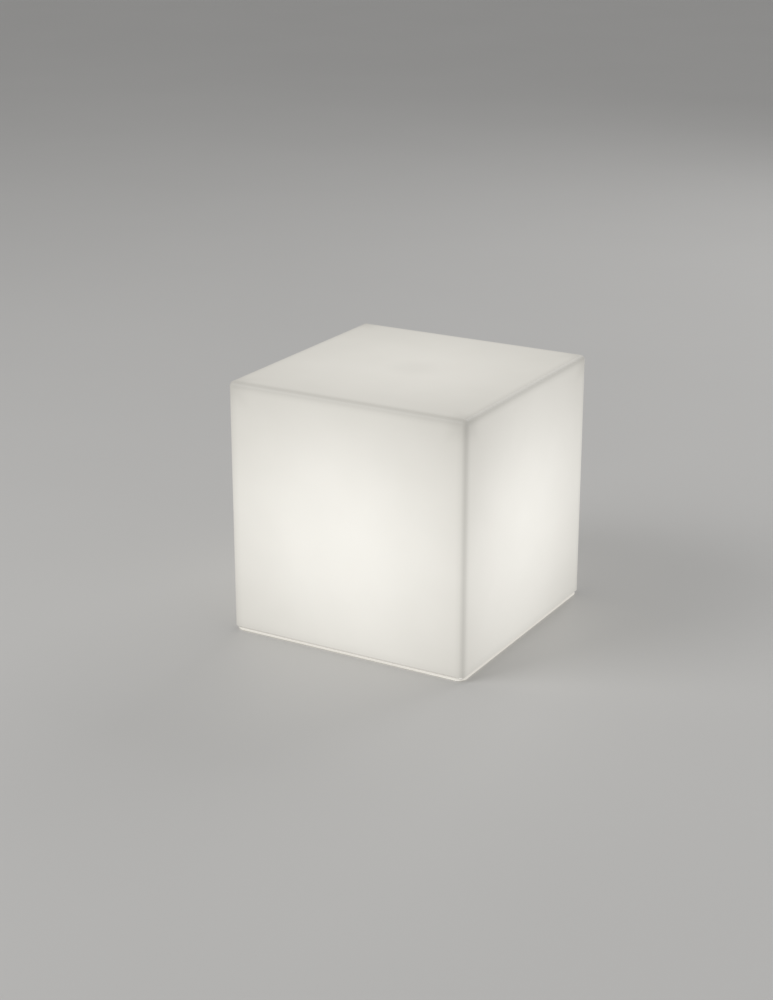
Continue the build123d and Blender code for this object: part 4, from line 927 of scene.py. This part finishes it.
# %% One cell
CELL_RADIUS, CELL_HALF = 9.2 * MM, 32.5 * MM
CELL_SIDES = 48
# Each row is a distance along the axis and one from it, as shares of half the length and the radius.
CELL_OUTLINE = [
    (-0.990, 0.00), (-0.990, 0.78), (-1.000, 0.80), (-1.000, 0.94), (-0.994, 0.985),
    (-0.980, 1.00), (0.870, 1.00), (0.885, 0.96), (0.905, 0.96), (0.920, 1.00),
    (0.980, 1.00), (0.994, 0.985), (1.000, 0.94), (1.000, 0.72), (0.988, 0.70),
    (0.988, 0.46), (0.999, 0.44), (0.999, 0.00),
]
FIRST_WRAPPED, LAST_WRAPPED = 2, 12  # rows between which the film lies

shape = bmesh.new()
turns = [2 * math.pi * side / CELL_SIDES for side in range(CELL_SIDES)]
rings = []
for along_axis, out in CELL_OUTLINE:
    y, radius = along_axis * CELL_HALF, out * CELL_RADIUS
    spots = [(radius * math.cos(turn), y, radius * math.sin(turn)) for turn in turns]
    rings.append([shape.verts.new(spot) for spot in (spots if out > 0 else spots[:1])])
wrapped = []
for row, (inner, outer) in enumerate(zip(rings, rings[1:])):
    for side in range(CELL_SIDES):
        after = (side + 1) % CELL_SIDES
        loop = [inner[side % len(inner)], inner[after % len(inner)]]
        loop += [outer[after % len(outer)], outer[side % len(outer)]]
        shape.faces.new(list(dict.fromkeys(loop)))
        wrapped.append(FIRST_WRAPPED <= row <= LAST_WRAPPED)
bmesh.ops.recalc_face_normals(shape, faces=shape.faces)
cell = finished_part("cell", shape, wrapped)
cell.data.polygons.foreach_set("use_smooth", [True] * len(cell.data.polygons))

# %% Cell tree
tree, sizes = new_tree("cells in a row", {"Count": 4, "Pitch": 18.8 * MM, "Axis height": 48.2 * MM})
whole_row = span(sizes["Count"], sizes["Pitch"])
left_end = add(tree, MATH, {0: whole_row, 1: -0.5}, operation="MULTIPLY")
first_place = add(tree, "ShaderNodeCombineXYZ", {"X": left_end, "Z": sizes["Axis height"]})
step = add(tree, "ShaderNodeCombineXYZ", {"X": sizes["Pitch"]})
line = {"Count": sizes["Count"], "Start Location": first_place, "Offset": step}
row = add(tree, "GeometryNodeMeshLine", line)
one = add(tree, "GeometryNodeObjectInfo", {"Object": cell}).outputs["Geometry"]
side_by_side = add(tree, "GeometryNodeInstanceOnPoints", {"Points": row, "Instance": one})
end_tree(tree, side_by_side, nickel, film)
cells = run_tree(tree, "wrapped_cells")
report_fit(cells, *CELLS)
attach(cells, "root")
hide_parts(*CELLS)

# %% [markdown]
# ### Legs, chip capacitors and solder joints
#
# A chip stands on bent legs of tinned copper, small ceramic capacitors sit beside it with a tinned
# cap at each end, and the pins of the sockets for the leads end below the board in cones of solder.
# Each kind is drawn once, legs and capacitors as a skin over an outline that is pushed along Y. One
# tree then puts a part at every point and gives the marked faces bright tin. The places follow the
# chips and sockets of the CAD model. Their solids share a node, so they are told apart by walking
# along the edges of a merged copy.


# %% Places of the chips
def solid_boxes(name):
    """Lowest and highest corner of each separate solid of a CAD node, from left to right."""
    shape = bmesh.new()
    shape.from_mesh(nodes[name].data)
    bmesh.ops.remove_doubles(shape, verts=shape.verts, dist=0.001 * MM)
    boxes, left = [], set(shape.verts)
    while left:
        spots, waiting = [], [left.pop()]
        while waiting:
            vertex = waiting.pop()
            spots.append(tuple(vertex.co))
            near = {edge.other_vert(vertex) for edge in vertex.link_edges} & left
            left -= near
            waiting.extend(near)
        boxes.append((tuple(map(min, zip(*spots))), tuple(map(max, zip(*spots)))))
    shape.free()
    return sorted(boxes)


TALLEST_CHIP = 2.0 * MM  # the coil and the large capacitor are taller and have no legs

board_low, board_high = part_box("control_board")
components = solid_boxes("board_components")
chips = [(low, high) for low, high in components if high[2] - board_high.z < TALLEST_CHIP]
print("chips:", len(chips))

# %% One leg, one capacitor, one solder joint
# Outlines in X and Z, from the side of the chip and from the board, and stops along Y, in mm.
LEG_OUTLINE = [
    (-0.10, 0.42), (0.45, 0.42), (0.68, 0.00), (1.30, 0.00),
    (1.30, 0.15), (0.78, 0.15), (0.55, 0.57), (-0.10, 0.57),
]
LEG_STOPS, CAPACITOR_STOPS = (-0.2, 0.2), (-0.8, -0.5, 0.5, 0.8)
CAPACITOR_OUTLINE = [(-0.4, 0.0), (0.4, 0.0), (0.4, 0.5), (-0.4, 0.5)]
JOINT_HEIGHT, JOINT_TIP, JOINT_FOOT, JOINT_SIDES = 0.9 * MM, 0.25 * MM, 0.8 * MM, 10

leg_rings = [[(x, y, z) for x, z in LEG_OUTLINE] for y in LEG_STOPS]
leg = skinned("leg", leg_rings, (True, True, True))
capacitor_rings = [[(x, y, z) for x, z in CAPACITOR_OUTLINE] for y in CAPACITOR_STOPS]
capacitor = skinned("capacitor", capacitor_rings, (True, True, False, True, True))
cone = bmesh.new()
cone_size = {"radius1": JOINT_TIP, "radius2": JOINT_FOOT, "depth": JOINT_HEIGHT}
bmesh.ops.create_cone(cone, cap_ends=True, segments=JOINT_SIDES, **cone_size)
bmesh.ops.translate(cone, vec=(0, 0, -JOINT_HEIGHT / 2), verts=cone.verts)
solder_cone = finished_part("solder cone", cone, [True] * len(cone.faces))

# %% Tree for small parts
tree, sizes = new_tree(
    "small parts",
    {"Part": "NodeSocketObject", "Body": "NodeSocketMaterial", "Tinned": "NodeSocketMaterial"},
    takes_points=True,
)
one = add(tree, "GeometryNodeObjectInfo", {"Object": sizes["Part"]}).outputs["Geometry"]
end_tree(tree, at_points(tree, sizes["Points"], one), sizes["Body"], sizes["Tinned"])
small_parts = tree
print("inputs of the tree for small parts:", [socket.name for socket in sizes[:-1]])

# %% Small parts in their places
LEG_PITCH = 1.27 * MM
CAPACITOR_COLUMNS, CAPACITOR_ROWS = (3.2 * MM, 6.2 * MM), (-2.4 * MM, 0.0, 2.4 * MM)
PIN_OFF_MIDDLE = 1.25 * MM
LEFT, RIGHT = (0, 0, math.pi), (0, 0, 0)

# Tin is bright and soft, without marks. Fired ceramic is brown and dull.
tin = worked_metal("bright tin plate", "#CFCFCB", 0.30, (1.0, 1.0, 1.0), 0.4, 0.01)
ceramic = moulded("fired brown ceramic", "#7A6248", 0.45, 0.3, 0.02)
leg_places, capacitor_places, joint_places = [], [], []
for low, high in chips:
    middle, depth = (low[1] + high[1]) / 2, high[1] - low[1]
    count = int((depth - 1 * MM) / LEG_PITCH) + 1
    for number in range(count):
        y = middle + (number - (count - 1) / 2) * LEG_PITCH
        leg_places += [((low[0], y, board_high.z), LEFT), ((high[0], y, board_high.z), RIGHT)]
    for column in CAPACITOR_COLUMNS:
        x = high[0] + column
        capacitor_places += [((x, middle + row, board_high.z), RIGHT) for row in CAPACITOR_ROWS]
for low, high in solid_boxes("board_headers"):
    x, y = (low[0] + high[0]) / 2, (low[1] + high[1]) / 2
    wide = high[0] - low[0] > high[1] - low[1]
    for off in (-PIN_OFF_MIDDLE, PIN_OFF_MIDDLE):
        joint = (x + off, y, board_low.z) if wide else (x, y + off, board_low.z)
        joint_places.append((joint, UP))
for name, part, body, places, slot in (
    ("chip_legs", leg, tin, leg_places, "nickel"),
    ("chip_capacitors", capacitor, ceramic, capacitor_places, "component_black"),
    ("solder_joints", solder_cone, tin, joint_places, "nickel"),
):
    piece = run_tree(small_parts, name, {"Part": part, "Body": body, "Tinned": tin}, places)
    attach(piece, "root")
    print(name, "parts:", len(places))
